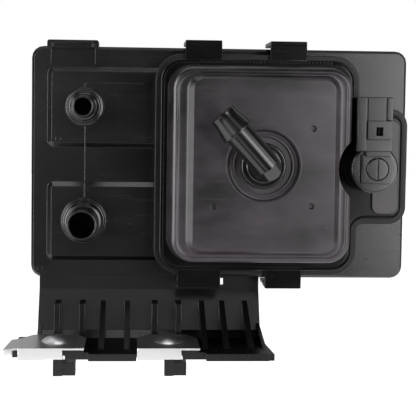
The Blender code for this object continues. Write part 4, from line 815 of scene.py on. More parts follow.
@dataclass(frozen=True)
class Finish:
    """What every finish has.

    Attributes:
        name: Name of the material.
        tone: Its plain colour.
        roughness: How dull it is.
    """

    name: str
    tone: Triple
    roughness: float

    def start(self) -> tuple[Graph, Node, Material]:
        """Make a material whose graph holds only its output and its Principled shader.

        Returns:
            The graph, the shader node and the material.
        """
        material = plain_material(self.name, Roughness=self.roughness)
        return Graph(material.node_tree), material.node_tree.nodes["Principled BSDF"], material

    def make(self) -> Material:
        """Return the material, which each kind of finish makes in its own way."""
        raise NotImplementedError

    @staticmethod
    def effect(graph: Graph, tree: NodeTree, **values: float) -> Node:
        """Place an effect with its own values.

        Args:
            graph: The material's graph.
            tree: The effect's node group.
            values: Its inputs, with _ for each space of a name.

        Returns:
            The placed group.
        """
        node = graph.add("ShaderNodeGroup", node_tree=tree)
        set_inputs(node, **values)
        return node

    def shade_of(self, factor: float) -> Quad:
        """Return the plain colour made lighter or darker."""
        red, green, blue = (min(1.0, channel * factor) for channel in self.tone)
        return red, green, blue, 1.0


@dataclass(frozen=True)
class MouldedPlastic(Finish):
    """Moulded plastic with grain, melt flow, dust, soft edges and lighter edges, partly rub wear and partly
    painted sheen.

    Attributes:
        specular: Strength of its plain reflection.
        grain_scale: Grain cells a metre.
        grain_height: Depth of the grain.
        edge: Radius of its softened edges.
        wear_and_sheen_lift: How much lighter its edges are, partly rub wear and partly a painted sheen of
            edge highlights.
        dust: How much of the dust shows.
        clouds: Shades of its darkest and lightest clouds.
        fleck: How much of the grain's flecks shows, and their shade.
        rub: How much of the rub marks shows, and their shade.
        wear_and_sheen_share: How much of the lighter edges shows, partly rub wear and partly painted sheen.
        dust_colour: Colour of the dust.
        dulling: How much duller the clouds, the rub marks and the dust are.
    """

    specular: float = 0.5
    grain_scale: float = 2600.0
    grain_height: float = 0.00002
    edge: float = 0.0004
    wear_and_sheen_lift: float = 2.2
    dust: float = 0.07
    clouds: Pair = (0.82, 1.25)
    fleck: Pair = (0.35, 1.8)
    rub: Pair = (0.25, 1.7)
    wear_and_sheen_share: float = 0.6
    dust_colour: Quad = (0.30, 0.28, 0.26, 1.0)
    dulling: Triple = (0.06, 0.035, 0.1)

    def make(self) -> Material:
        """Return the material."""
        graph, shader, material = self.start()
        grain = self.effect(graph, EFFECTS.grain, Scale=self.grain_scale)
        flow = self.effect(graph, EFFECTS.flow)
        marks = self.effect(graph, EFFECTS.handling)
        edges = self.effect(graph, EFFECTS.soft_edge, Radius=self.edge)
        dark, light = (self.shade_of(factor) for factor in self.clouds)
        colour = graph.mix(flow.outputs["Cloud"], dark, light)
        layers = (
            (grain.outputs["Fleck"], self.fleck[0], self.shade_of(self.fleck[1])),
            (marks.outputs["Rub"], self.rub[0], self.shade_of(self.rub[1])),
            # Every edge is painted lighter: partly rub wear, partly a painted sheen standing in for edge
            # highlights.
            (edges.outputs["Edge"], self.wear_and_sheen_share, self.shade_of(self.wear_and_sheen_lift)),
            (marks.outputs["Dust"], self.dust, self.dust_colour),
        )
        for mask, share, above in layers:
            colour = graph.lay(mask, share, colour, above)
        graph.link(colour, shader.inputs["Base Color"])
        clouded, rubbed, dusty = self.dulling
        dull = graph.scaled(flow.outputs["Cloud"], clouded, self.roughness - clouded / 2)
        dull = graph.scaled(marks.outputs["Rub"], rubbed, dull)
        dull = graph.maths("ADD", dull, graph.scaled(marks.outputs["Dust"], dusty), clamp=True)
        graph.link(dull, shader.inputs["Roughness"])
        set_inputs(shader, Specular_IOR_Level=self.specular)
        relief = graph.bump(grain.outputs["Height"], self.grain_height, edges.outputs["Normal"])
        graph.link(relief, shader.inputs["Normal"])
        return material


@dataclass(frozen=True)
class PlatedMetal(Finish):
    """Metal with crystals, rolling lines and soft edges.

    Attributes:
        crystal_scale: Crystals a metre.
        contrast: How far the crystals' tones differ.
        line_height: Depth of the rolling lines.
        rub: How much of the rub marks shows.
        rub_shade: Shade of the rub marks.
        edge: Radius of its softened edges.
    """

    crystal_scale: float = 700.0
    contrast: float = 0.06
    line_height: float = 0.0000006
    rub: float = 0.25
    rub_shade: float = 0.75
    edge: float = 0.00012

    def make(self) -> Material:
        """Return the material."""
        graph, shader, material = self.start()
        crystals = self.effect(graph, EFFECTS.crystals, Scale=self.crystal_scale)
        marks = self.effect(graph, EFFECTS.handling)
        edges = self.effect(graph, EFFECTS.soft_edge, Radius=self.edge)
        dark = self.shade_of(1.0 - self.contrast)
        light = self.shade_of(1.0 + self.contrast / 2)
        toned = graph.mix(crystals.outputs["Tone"], dark, light)
        rubbed = graph.lay(marks.outputs["Rub"], self.rub, toned, self.shade_of(self.rub_shade))
        graph.link(rubbed, shader.inputs["Base Color"])
        set_inputs(shader, Metallic=1.0)
        dull = graph.scaled(crystals.outputs["Tone"], self.contrast, self.roughness)
        graph.link(graph.scaled(marks.outputs["Rub"], self.rub / 2, dull), shader.inputs["Roughness"])
        relief = graph.bump(crystals.outputs["Height"], self.line_height, edges.outputs["Normal"])
        graph.link(relief, shader.inputs["Normal"])
        return material


@dataclass(frozen=True)
class GranularMatter(Finish):
    """Loose or porous matter such as charcoal or foam, painted darker between the grains and lighter on their
    tops as shade and light.

    Attributes:
        scale: Grains a metre.
        depth: Height of the grains.
        round_share: The share of a grain's reach over which it falls off.
        crevice_shade_top_light: Painted shade between the grains and painted light on top of them.
    """

    scale: float = 500.0
    depth: float = 0.0006
    round_share: float = 0.6
    crevice_shade_top_light: Pair = (0.45, 1.3)

    def make(self) -> Material:
        """Return the material."""
        graph, shader, material = self.start()
        place = graph.add("ShaderNodeTexCoord")
        cells = graph.add("ShaderNodeTexVoronoi")
        cells.inputs["Scale"].default_value = self.scale
        graph.link(place.outputs["Object"], cells.inputs["Vector"])
        height = graph.spread(cells.outputs["Distance"], 0.0, self.round_share, start=1.0, end=0.0)
        # Painted shade in the crevices between grains and painted light on their tops.
        dark, light = (self.shade_of(factor) for factor in self.crevice_shade_top_light)
        graph.link(graph.mix(height, dark, light), shader.inputs["Base Color"])
        graph.link(graph.bump(height, self.depth), shader.inputs["Normal"])
        return material


def made(finish: Finish) -> Material:
    """Return a palette's field whose material is made together with the palette."""
    return field(default_factory=finish.make)


@dataclass
class Palette:
    """The canister's finishes, made once and shared by its pieces."""

    case: Material = made(MouldedPlastic("case nylon", (0.0034, 0.0031, 0.0033), 0.25))
    cover: Material = made(
        MouldedPlastic("cover nylon", (0.0172, 0.0136, 0.0168), 0.36, grain_height=1.4e-5, clouds=(0.15, 2.2))
    )
    # The flange's nylon is a glossier copy of the cover's with a much darker colour, and that darker colour
    # is painted shade.
    flange: Material = made(
        MouldedPlastic("glossy shaded nylon", (0.0040, 0.0037, 0.0039), 0.20, specular=0.19, grain_height=6e-6)
    )
    smooth: Material = made(MouldedPlastic("smooth nylon", (0.0042, 0.0038, 0.0041), 0.21, grain_height=8e-6))
    rubber: Material = made(
        MouldedPlastic("seal rubber", (0.0045, 0.0043, 0.0046), 0.40, specular=0.25, dust=0.05)
    )
    zinc: Material = made(
        PlatedMetal("bright zinc", (0.93, 0.93, 0.94), 0.20, contrast=0.015, line_height=1e-7, rub=0.03)
    )
    # A rougher copy of the bright zinc for the clips' upward faces, darker in colour as painted shade.
    shaded_satin_zinc: Material = made(
        PlatedMetal("shaded satin zinc", (0.62, 0.61, 0.63), 0.30, contrast=0.015, line_height=1e-7, rub=0.03)
    )
    steel: Material = made(PlatedMetal("oiled steel", (0.34, 0.34, 0.35), 0.34, crystal_scale=1500.0))
    copper: Material = made(PlatedMetal("enamelled copper", (0.58, 0.26, 0.13), 0.32, crystal_scale=2500.0))
    tin: Material = made(PlatedMetal("tinned brass", (0.72, 0.71, 0.67), 0.26, crystal_scale=2000.0))
    natural: Material = made(
        MouldedPlastic("natural nylon", (0.60, 0.57, 0.50), 0.42, wear_and_sheen_lift=1.2, dust=0.3)
    )
    board: Material = made(MouldedPlastic("green solder resist", (0.016, 0.13, 0.055), 0.35, wear_and_sheen_lift=1.5))
    charcoal: Material = made(GranularMatter("charcoal pellets", (0.020, 0.020, 0.021), 0.85))
    foam: Material = made(GranularMatter("filter foam", (0.17, 0.17, 0.16), 0.95, scale=1400.0, depth=0.0002))


@dataclass
class ModuleOutline:
    """The outline that the module's tray, seal and cover share."""

    left: float = -0.0383
    right: float = 0.0781
    top: float = 0.0627
    bottom: float = -0.0630
    corner: float = 0.0149
    lobe_right: float = 0.1064
    lobe_top: float = 0.0330
    lobe_bottom: float = -0.0331
    lobe_corner: float = 0.0098
    inner_corner: float = 0.0035

    def corners(self) -> Corners:
        """Return the outline's corners, anticlockwise."""
        return (
            (self.left, self.bottom, self.corner),
            (self.right, self.bottom, self.corner),
            (self.right, self.lobe_bottom, self.inner_corner),
            (self.lobe_right, self.lobe_bottom, self.lobe_corner),
            (self.lobe_right, self.lobe_top, self.lobe_corner),
            (self.right, self.lobe_top, self.inner_corner),
            (self.right, self.top, self.corner),
            (self.left, self.top, self.corner),
        )

    def ring(self, inset: float, y: float) -> list[Triple]:
        """Return the outline moved inwards, at one depth."""
        return [(x, y, z) for x, z in rounded(self.corners(), inset)]


@dataclass
class CaseShell:
    """The case moulding and what is fine on its front: the runner ribs, pin marks and the tab's lip."""

    palette: Palette
    softness: float = 0.0008
    panel: float = -0.0025
    rib_width: float = 0.0008
    rib_height: float = 0.0003
    rib_edge: float = 0.0002
    across: Triple = (-0.0783, -0.0443, 0.0459)
    upright_x: float = -0.0783
    upright: tuple[Triple, ...] = (
        (0.0433, 0.0459, -0.0025), (0.0088, 0.0211, -0.0025), (-0.0111, 0.0088, 0.0),
        (-0.0202, -0.0111, -0.0025),
    )
    pin_marks: tuple[Quad, ...] = (
        (-0.0687, -0.0632, 0.0009, 0.0), (-0.1040, -0.0618, 0.0018, 0.0),
        (-0.0937, 0.0135, 0.0017, -0.0025),
    )
    mark_wall: float = 0.28
    mark_levels: Pair = (-0.0002, 0.00025)
    tab: Triple = (-0.1003, -0.0708, 0.0704)
    tab_depth: Pair = (-0.0024, -0.0014)
    lip_sides: Pair = (0.0026, 0.0040)
    lip_drops: Triple = (0.0008, 0.0019, 0.0043)
    lip_edge: float = 0.0003
    short_ribs: tuple[float, ...] = (-0.0927, -0.0785, -0.0372, -0.0236)
    short_rib: Triple = (0.0032, -0.0797, -0.1000)
    short_front: Pair = (-0.0135, -0.0150)

    def build(self) -> None:
        """Build the fine forms and dress the case."""
        material = self.palette.case
        soften_node(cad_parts["canister_case"], material, self.softness)
        for form in (self.ribs(), self.marks(), self.tab_lip(), self.rib_fronts()):
            Workshop.fit(form, material, "canister_case")

    def ribs(self) -> Object:
        """Return the thin upright and level ribs of the front face."""
        left, right, height = self.across
        upright = span(self.upright_x, self.rib_width)
        places = [((left, right), span(height, self.rib_width), self.panel)]
        places += [(upright, (low, high), level) for low, high, level in self.upright]
        ribs = []
        for x, z, level in places:
            depth = (level - self.rib_height, level + self.rib_width / 2)
            ribs.append(Workshop.block("rib", x, depth, z, self.rib_edge))
        return Workshop.merge("runner_ribs", ribs)

    def rib_fronts(self) -> Object:
        """Return the fuller fronts of the skirt's ribs behind the clips."""
        width, high, low = self.short_rib
        top_front, low_front = self.short_front
        outline = ((0.0, high), (top_front, high), (low_front, low), (0.0, low))
        fronts = [Workshop.slab("rib_front", outline, *span(x, width), Axis.ACROSS) for x in self.short_ribs]
        return Workshop.merge("rib_fronts", fronts)

    def marks(self) -> Object:
        """Return the low rings that ejector pins left on the front face."""
        rings = []
        for x, z, radius, level in self.pin_marks:
            radii = (radius - radius * self.mark_wall, radius)
            rings.append(Workshop.hoop("ring", radii, self.mark_levels, (x, level, z)))
        return Workshop.merge("pin_marks", rings)

    def tab_lip(self) -> Object:
        """Return the raised frame along the tab's lip."""
        left, right, top = self.tab
        near, far = self.lip_sides
        over, under, foot = self.lip_drops
        places = (
            ((left + near, right - near), under),
            ((left + near, left + far), foot),
            ((right - far, right - near), foot),
        )
        bars = []
        for x, drop in places:
            bars.append(Workshop.block("bar", x, self.tab_depth, (top - drop, top - over), self.lip_edge))
        return Workshop.merge("tab_lip_frame", bars)


@dataclass
class HosePort:
    """One hose port of the case, with the stepped rings at its foot and its rounded mouth.

    Its x and z are those of the case frame, base, step, tube and bore are radii, length and shoulder are
    heights over the face, and the roundings of its profile are shares of the bead.
    """

    palette: Palette
    name: str
    x: float
    z: float
    length: float
    base: float
    step: float
    tube: float
    bore: float
    shoulder: float
    panel: float = 0.0025
    base_height: float = 0.0012
    bead: float = 0.0006
    bead_back: float = 0.0030
    skin: float = 0.00006
    soft: float = 0.0004

    def build(self) -> None:
        """Build the port's outer skin and its bore's lining over the case's own."""
        reach = self.length - self.panel
        tube = self.tube + self.skin
        step = self.step + self.skin
        base = self.base + self.skin
        bead_start = reach - self.bead_back
        bore = self.bore - self.skin * 2
        rim = reach + self.skin
        outer = [
            (base, 0.0),
            (base, self.base_height / 2 + self.skin),
            (base - self.bead, self.base_height + self.skin),
            (step + self.bead * 2.2, self.base_height + self.skin),
            (step + self.bead * 1.6, self.base_height + self.bead * 1.8),
            (step, self.base_height + self.bead * 2.2),
            (step, self.shoulder - self.bead),
            (step - self.bead * 1.2, self.shoulder + self.skin),
            (tube, self.shoulder + self.bead),
            (tube, bead_start - 2 * self.bead),
            (tube + self.bead * 0.3, bead_start),
            (tube, rim - self.bead),
            (tube - self.bead, rim),
            (bore + self.bead * 0.6, rim),
        ]
        inner = [(bore, rim - self.bead * 0.8), (bore, 0.0)]
        profile = softened(outer + inner, self.soft, steps=3)
        skin = Workshop.lathe(self.name, profile, (self.x, -self.panel, self.z), hollow=True)
        Workshop.fit(skin, self.palette.case, "canister_case", angle=50)


@dataclass
class ModuleSeal:
    """The rubber seal between tray and cover."""

    palette: Palette
    outline: ModuleOutline
    back: float = -0.0118
    front: float = -0.0133
    width: float = 0.0048
    edge: float = 0.0004
    soft: float = 0.0003

    def build(self) -> None:
        """Build the seal with its rounded rim."""
        levels = [
            (self.width, self.back),
            (self.edge, self.back),
            (0.0, self.back - self.edge),
            (0.0, self.front + self.edge),
            (self.edge, self.front),
            (self.width, self.front),
        ]
        rings = [self.outline.ring(inset, y) for inset, y in softened(levels, self.soft, steps=3)]
        seal = Workshop.skin("seal_band", rings, band=True)
        Workshop.fit(seal, self.palette.rubber, "module_seal", ["module_seal"], angle=50)


@dataclass
class ModuleCover:
    """The module's cover: stepped flange, two-level dome, recess, connector pocket, pad and snap hooks."""

    palette: Palette
    outline: ModuleOutline
    flange: float = -0.0160
    flange_thick: float = 0.0024
    inset: float = 0.0029
    groove: tuple[Pair, ...] = (
        (0.0, 0.0006), (0.0006, 0.0001), (0.0012, 0.0001), (0.0015, 0.0006), (0.0018, 0.0006),
        (0.0021, 0.0), (0.0034, 0.0),
    )
    groove_soft: float = 0.00025
    glossy_rise: float = 0.0004
    centre: Pair = (0.0199, 0.0010)
    dome: tuple[Quad, ...] = (
        (0.0512, 0.0554, 0.0135, -0.0010), (0.0512, 0.0554, 0.0135, 0.0000),
        (0.0492, 0.0534, 0.0122, 0.0184), (0.0474, 0.0516, 0.0108, 0.0196),
        (0.0466, 0.0508, 0.0100, 0.0196), (0.0458, 0.0500, 0.0093, 0.0190),
        (0.0430, 0.0492, 0.0085, 0.0190), (0.0394, 0.0467, 0.0055, 0.0220),
    )
    dome_soft: float = 0.0011
    left_set_in: Triple = (0.0016, 0.0458, 0.0430)
    wall: float = 0.0022
    void: tuple[Quad, ...] = (
        (0.0490, 0.0532, 0.0115, -0.0034), (0.0470, 0.0512, 0.0102, 0.0165),
        (0.0408, 0.0470, 0.0065, 0.0172), (0.0372, 0.0445, 0.0035, 0.0198),
    )
    recess_at: Pair = (0.0204, 0.0011)
    recess: tuple[Pair, ...] = (
        (0.0200, 0.0030), (0.0194, 0.0024), (0.0186, 0.0013), (0.0174, 0.0012), (0.0172, 0.0009),
        (0.0166, 0.0009), (0.0164, 0.0012), (0.0158, 0.0012), (0.0156, 0.0000),
    )
    recess_depth: float = 0.0025
    recess_rim: Triple = (0.0197, 0.0012, 0.0004)
    pocket_at: Pair = (0.0829, -0.0005)
    pocket: float = 0.0208
    pocket_wall: float = 0.0022
    boss: float = 0.0021
    boss_radius: float = 0.01345
    pad: Quad = (0.0854, 0.1002, -0.0269, 0.0268)
    pad_corner: float = 0.0045
    pad_height: float = 0.0018
    pad_slope: float = 0.0003
    holes: Pair = (0.0076, 0.0089)
    dimples: tuple[Pair, ...] = ((0.0473, 0.0215), (0.0467, -0.0208), (-0.0065, -0.0213))
    dimple: float = 0.0017
    dimple_depth: float = 0.0018
    dimple_floor: float = 0.8
    ring_mark: Triple = (0.0543, -0.0326, 0.0019)
    ring_wall: float = 0.0006
    ring_levels: Pair = (-0.0002, 0.0002)
    dot: tuple[Pair, ...] = ((0.0, 0.0002), (0.0005, 0.00015), (0.0007, -0.0002))
    hook_tops: Pair = (-0.0113, 0.0368)
    hook_bottoms: Pair = (-0.0125, 0.0357)
    wall_z: float = 0.0679
    hook_thick: float = 0.0024
    hook_width: float = 0.0206
    wide_hook: float = 0.0246
    hook_length: float = 0.0230
    hook_end: float = 0.0022
    hook_edge: float = 0.0004
    hook_root: float = 0.0560
    window: Pair = (0.0120, 0.0060)
    tooth: float = 0.0012
    tooth_pitch: float = 0.0021
    tooth_levels: Pair = (0.0003, 0.0002)
    tooth_edge: float = 0.0001
    top_teeth: tuple[float, int] = (-0.0130, 36)
    left_teeth: tuple[float, int] = (-0.0420, 40)

    def ring(self, level: Sequence[float]) -> list[Triple]:
        """Return one level of the dome, given as half sides, corner and height over the flange."""
        half_x, half_z, corner, height = level
        x, z = self.centre
        most, start, full = self.left_set_in
        set_in = most * min(max((start - half_x) / (start - full), 0.0), 1.0)
        sides = rectangle(x - half_x + set_in, x + half_x, z - half_z, z + half_z, corner)
        return [(a, self.flange - height, b) for a, b in rounded(sides)]

    @property
    def top(self) -> float:
        """Return the depth of the plateau."""
        return self.flange - self.dome[-1][3]

    @property
    def behind(self) -> float:
        """Return a depth that is safely behind the cover."""
        return self.flange + self.flange_thick + 2 * OVERLAP

    def build(self) -> None:
        """Build the cover and dress it."""
        cover = self.flange_plate()
        Workshop.combine(cover, [self.dome_shell()], Joining.ADD)
        pocket = self.round_tool("pocket", self.pocket, self.top - OVERLAP, self.flange)
        Workshop.combine(cover, [pocket], Joining.CUT)
        Workshop.combine(cover, [self.pad_block(), self.boss_disc()], Joining.ADD)
        Workshop.combine(cover, [self.hollow()], Joining.CUT)
        Workshop.combine(cover, self.recess_tools() + self.dimple_tools(), Joining.CUT)
        hooks = [self.hook(x, 1, self.hook_width) for x in self.hook_tops]
        for x, width in zip(self.hook_bottoms, (self.wide_hook, self.hook_width)):
            hooks.append(self.hook(x, -1, width))
        Workshop.combine(cover, hooks, Joining.ADD)
        cover.name = "cover_shell"
        Workshop.fit(cover, self.palette.cover, "module_cover", ["module_cover"])
        self.paint_flange_shade(cover)
        for form in (self.gate_mark(), self.rim()):
            Workshop.fit(form, self.palette.cover, "module_cover")
        # The teeth take the flange's darker copy, whose darkness is painted shade.
        Workshop.fit(self.knurl(), self.palette.flange, "module_cover")

    def paint_flange_shade(self, cover: Object) -> None:
        """Give the flange and the hooks a glossier copy of the cover's nylon, darker in colour as painted
        shade, and leave the dome and the pad dull.

        Args:
            cover: The finished cover.
        """
        # The flange and hooks take the darker copy: painted shade on the flange.
        cover.data.materials.append(self.palette.flange)
        level = CASE.at(0.0, self.flange - self.glossy_rise, 0.0).y
        for polygon in cover.data.polygons:
            if polygon.center.y > level:
                polygon.material_index = 1

    def flange_plate(self) -> Object:
        """Return the flange with a fine groove inside its rim."""
        levels = [(self.inset, self.flange + self.flange_thick)]
        levels += [(self.inset + step, self.flange + depth) for step, depth in self.groove]
        rings = [self.outline.ring(inset, y) for inset, y in softened(levels, self.groove_soft, steps=2)]
        return Workshop.skin("flange", rings)

    def dome_shell(self) -> Object:
        """Return the solid dome, its edges softened."""
        levels = softened(self.dome, self.dome_soft, steps=5)
        return Workshop.skin("dome", [self.ring(level) for level in levels])

    def round_tool(
        self, name: str, radius: float, front: float, back: float, at: Optional[Pair] = None
    ) -> Object:
        """Return a round bar along the depth, by default over the connector's place.

        Args:
            name: Name of the tool.
            radius: Its radius.
            front: Where it starts, nearest the camera.
            back: Where it ends.
            at: Its place over the front face.

        Returns:
            The tool.
        """
        x, z = at or self.pocket_at
        return Workshop.lathe(name, [(radius, 0.0), (radius, back - front)], (x, front, z), axis=(0, 1, 0))

    def pad_block(self) -> Object:
        """Return the low pad of the lobe, sloped off at its ends."""
        left, right, bottom, top = self.pad
        outline = rectangle(left, right, bottom, top, self.pad_corner)
        low = [(x, self.flange + OVERLAP, z) for x, z in rounded(outline)]
        high = [(x, self.flange - self.pad_height, z) for x, z in rounded(outline, self.pad_slope)]
        return Workshop.skin("pad", [low, high])

    def boss_disc(self) -> Object:
        """Return the round seat of the connector."""
        return self.round_tool("boss", self.boss_radius, self.flange - self.boss, self.flange + OVERLAP)

    def hollow(self) -> Object:
        """Return the room inside the dome, clear of the pocket's wall and the recess."""
        room = Workshop.skin("room", [self.ring(level) for level in self.void])
        front = self.top - OVERLAP
        wall = self.round_tool("wall", self.pocket + self.pocket_wall, front, self.behind)
        floor = self.top + self.recess_depth + self.wall
        dish = self.round_tool("dish", self.recess[1][0] + self.wall, front, floor, self.recess_at)
        return Workshop.combine(room, [wall, dish], Joining.CUT)

    def recess_tools(self) -> list[Object]:
        """Return what cuts the stepped recess and the two through holes."""
        x, z = self.recess_at
        floor = self.top + self.recess_depth
        profile = [(0.0, self.recess_depth + OVERLAP)] + list(self.recess) + [(0.0, 0.0)]
        dish = Workshop.lathe("recess", profile, (x, floor, z))
        elbow, spigot = self.holes
        back = floor + self.wall + OVERLAP
        through = self.round_tool("elbow_hole", elbow, floor - OVERLAP, back, self.recess_at)
        seat = self.round_tool("spigot_hole", spigot, self.flange - self.boss - OVERLAP, self.behind)
        return [dish, through, seat]

    def dimple_tools(self) -> list[Object]:
        """Return what cuts the three dimples of the plateau."""
        radius = self.dimple
        depth = self.dimple_depth
        low = (radius * self.dimple_floor, -depth)
        cone = [(0.0, OVERLAP), (radius, OVERLAP), (radius, 0.0), low, (0.0, -depth)]
        return [Workshop.lathe("dimple", cone, (x, self.top, z), sides=32) for x, z in self.dimples]

    def hook(self, middle: float, side: int, across: float) -> Object:
        """Return one snap hook with its window.

        Args:
            middle: Its place across.
            side: 1 for the top wall, -1 for the bottom one.
            across: Its width.

        Returns:
            The hook.
        """
        sides = span(middle, across)
        end = self.flange + self.hook_length
        levels = self.on_side(side, self.wall_z, self.wall_z + self.hook_thick)
        leg = Workshop.block("leg", sides, (self.flange, end), levels, self.hook_edge)
        foot_depth = (self.flange + GAP, self.flange + self.flange_thick - GAP)
        foot_levels = self.on_side(side, self.hook_root, self.wall_z + OVERLAP)
        foot = Workshop.block("foot", sides, foot_depth, foot_levels)
        Workshop.combine(leg, [foot], Joining.ADD)
        width, length = self.window
        catch = (end - self.hook_end - length, end - self.hook_end)
        through = self.on_side(side, self.wall_z - OVERLAP, self.wall_z + self.hook_thick + OVERLAP)
        opening = Workshop.block("opening", span(middle, width), catch, through)
        return Workshop.combine(leg, [opening], Joining.CUT)

    @staticmethod
    def on_side(side: int, near: float, far: float) -> Pair:
        """Return two heights over the middle as limits of one side, 1 for the top and -1 for the bottom."""
        low, high = sorted((side * near, side * far))
        return low, high

    def gate_mark(self) -> Object:
        """Return the small ring that the gate left on the plateau."""
        x, z, radius = self.ring_mark
        place = (x, self.top, z)
        ring = Workshop.hoop("ring", (radius - self.ring_wall, radius), self.ring_levels, place)
        return Workshop.merge("gate_mark", [ring, Workshop.lathe("dot", self.dot, place, sides=24)])

    def rim(self) -> Object:
        """Return the low rounded lip round the recess."""
        radius, width, rise = self.recess_rim
        x, z = self.recess_at
        radii = (radius, radius + width)
        place = (x, self.top, z)
        return Workshop.hoop("recess_rim", radii, (-rise, rise), place, soft=rise, steps=4, sides=120)

    def knurl(self) -> Object:
        """Return the row of fine teeth on the flange beside the dome's top and left walls."""
        size = self.tooth
        top = self.centre[1] + self.dome[0][1] + size
        left = self.centre[0] - self.dome[0][0] - size
        places = [(along, (top, top + size)) for along in self.row(*self.top_teeth)]
        places += [((left - size, left), along) for along in self.row(*self.left_teeth)]
        rise, sunk = self.tooth_levels
        depth = (self.flange - rise, self.flange + sunk)
        teeth = [Workshop.block("tooth", x, depth, z, self.tooth_edge) for x, z in places]
        return Workshop.merge("flange_teeth", teeth)

    def row(self, first: float, count: int) -> list[Pair]:
        """Return where the teeth of one row begin and end."""
        starts = [first + index * self.tooth_pitch for index in range(count)]
        return [(start, start + self.tooth_pitch / 2) for start in starts]


@dataclass
class ElbowNozzle:
    """The hose elbow: ringed flange, riser, mitred bend, arm and barb."""

    palette: Palette
    x: float = 0.0204
    z: float = 0.0011
    floor: float = -0.0358
    axis: float = -0.0540
    back: float = -0.0295
    radius: float = 0.0073
    bore: float = 0.0052
    reach: float = 0.0371
    angle: float = math.radians(48.3)
    bend: float = 0.0042
    mitre: float = math.radians(22.5)
    sides: int = 72
    flange_soft: float = 0.0003
    flange: tuple[Pair, ...] = (
        (0.0, 0.0026), (0.0090, 0.0026), (0.0093, 0.0022), (0.0099, 0.0022), (0.0102, 0.0026),
        (0.0117, 0.0026), (0.0125, 0.0018), (0.0125, 0.0), (0.0, 0.0),
    )
    barb: tuple[Pair, ...] = (
        (0.0, 0.0127), (0.0062, 0.0127), (0.0068, 0.0122), (0.0089, 0.0016), (0.0089, 0.0003),
        (0.0086, 0.0), (0.0, 0.0),
    )

    def direction(self) -> Vector:
        """Return the way that the arm points."""
        return Vector((-math.cos(self.angle), 0.0, math.sin(self.angle)))

    def path(self) -> list[Vector]:
        """Return the middle line: riser, one short mitred length, arm."""
        base = Vector((self.x, 0.0, self.z))
        corner = self.bend * math.tan(self.mitre)
        low = base + Vector((0, self.axis + self.bend - corner, 0))
        high = base + Vector((0, self.axis, 0)) + self.direction() * (self.bend - corner)
        tip = base + Vector((0, self.axis, 0)) + self.direction() * self.reach
        return [base + Vector((0, self.back, 0)), low, high, tip]

    def tube(self, name: str, radius: float, extra: float) -> Object:
        """Return a mitred tube along the path.

        Args:
            name: Name of the object.
            radius: Its radius.
            extra: How far it runs past both ends.

        Returns:
            The tube, capped.
        """
        path = self.path()
        path[0] = path[0] + Vector((0, extra, 0))
        path[-1] = path[-1] + self.direction() * extra
        side = self.direction().cross(Vector((0, 1, 0))).normalized()
        rings = []
        for index, place in enumerate(path):
            before = (place - path[index - 1]).normalized() if index else None
            after = (path[index + 1] - place).normalized() if index + 1 < len(path) else None
            along = before or after
            level = ((before or after) + (after or before)).normalized()
            across = along.cross(side).normalized()
            points = []
            for step in range(self.sides):
                turn = math.tau * step / self.sides
                spoke = (side * math.cos(turn) + across * math.sin(turn)) * radius
                slide = -spoke.dot(level) / along.dot(level)
                points.append(tuple(place + spoke + along * slide))
            rings.append(points)
        return Workshop.skin(name, rings)

    def build(self) -> None:
        """Build the elbow and dress it."""
        elbow = self.tube("elbow_hose_nozzle", self.radius, 0.0)
        tip = self.path()[-1]
        root = tip - self.direction() * self.barb[0][1]
        flange = softened(self.flange, self.flange_soft, steps=2)
        disc = Workshop.lathe("disc", flange, (self.x, self.floor, self.z), sides=self.sides)
        barb = Workshop.lathe("barb", self.barb, tuple(root), axis=tuple(self.direction()), sides=self.sides)
        Workshop.combine(elbow, [disc, barb], Joining.ADD)
        Workshop.combine(elbow, [self.tube("bore", self.bore, OVERLAP)], Joining.CUT)
        Workshop.fit(elbow, self.palette.smooth, "elbow_nozzle", ["elbow_nozzle"], angle=30)


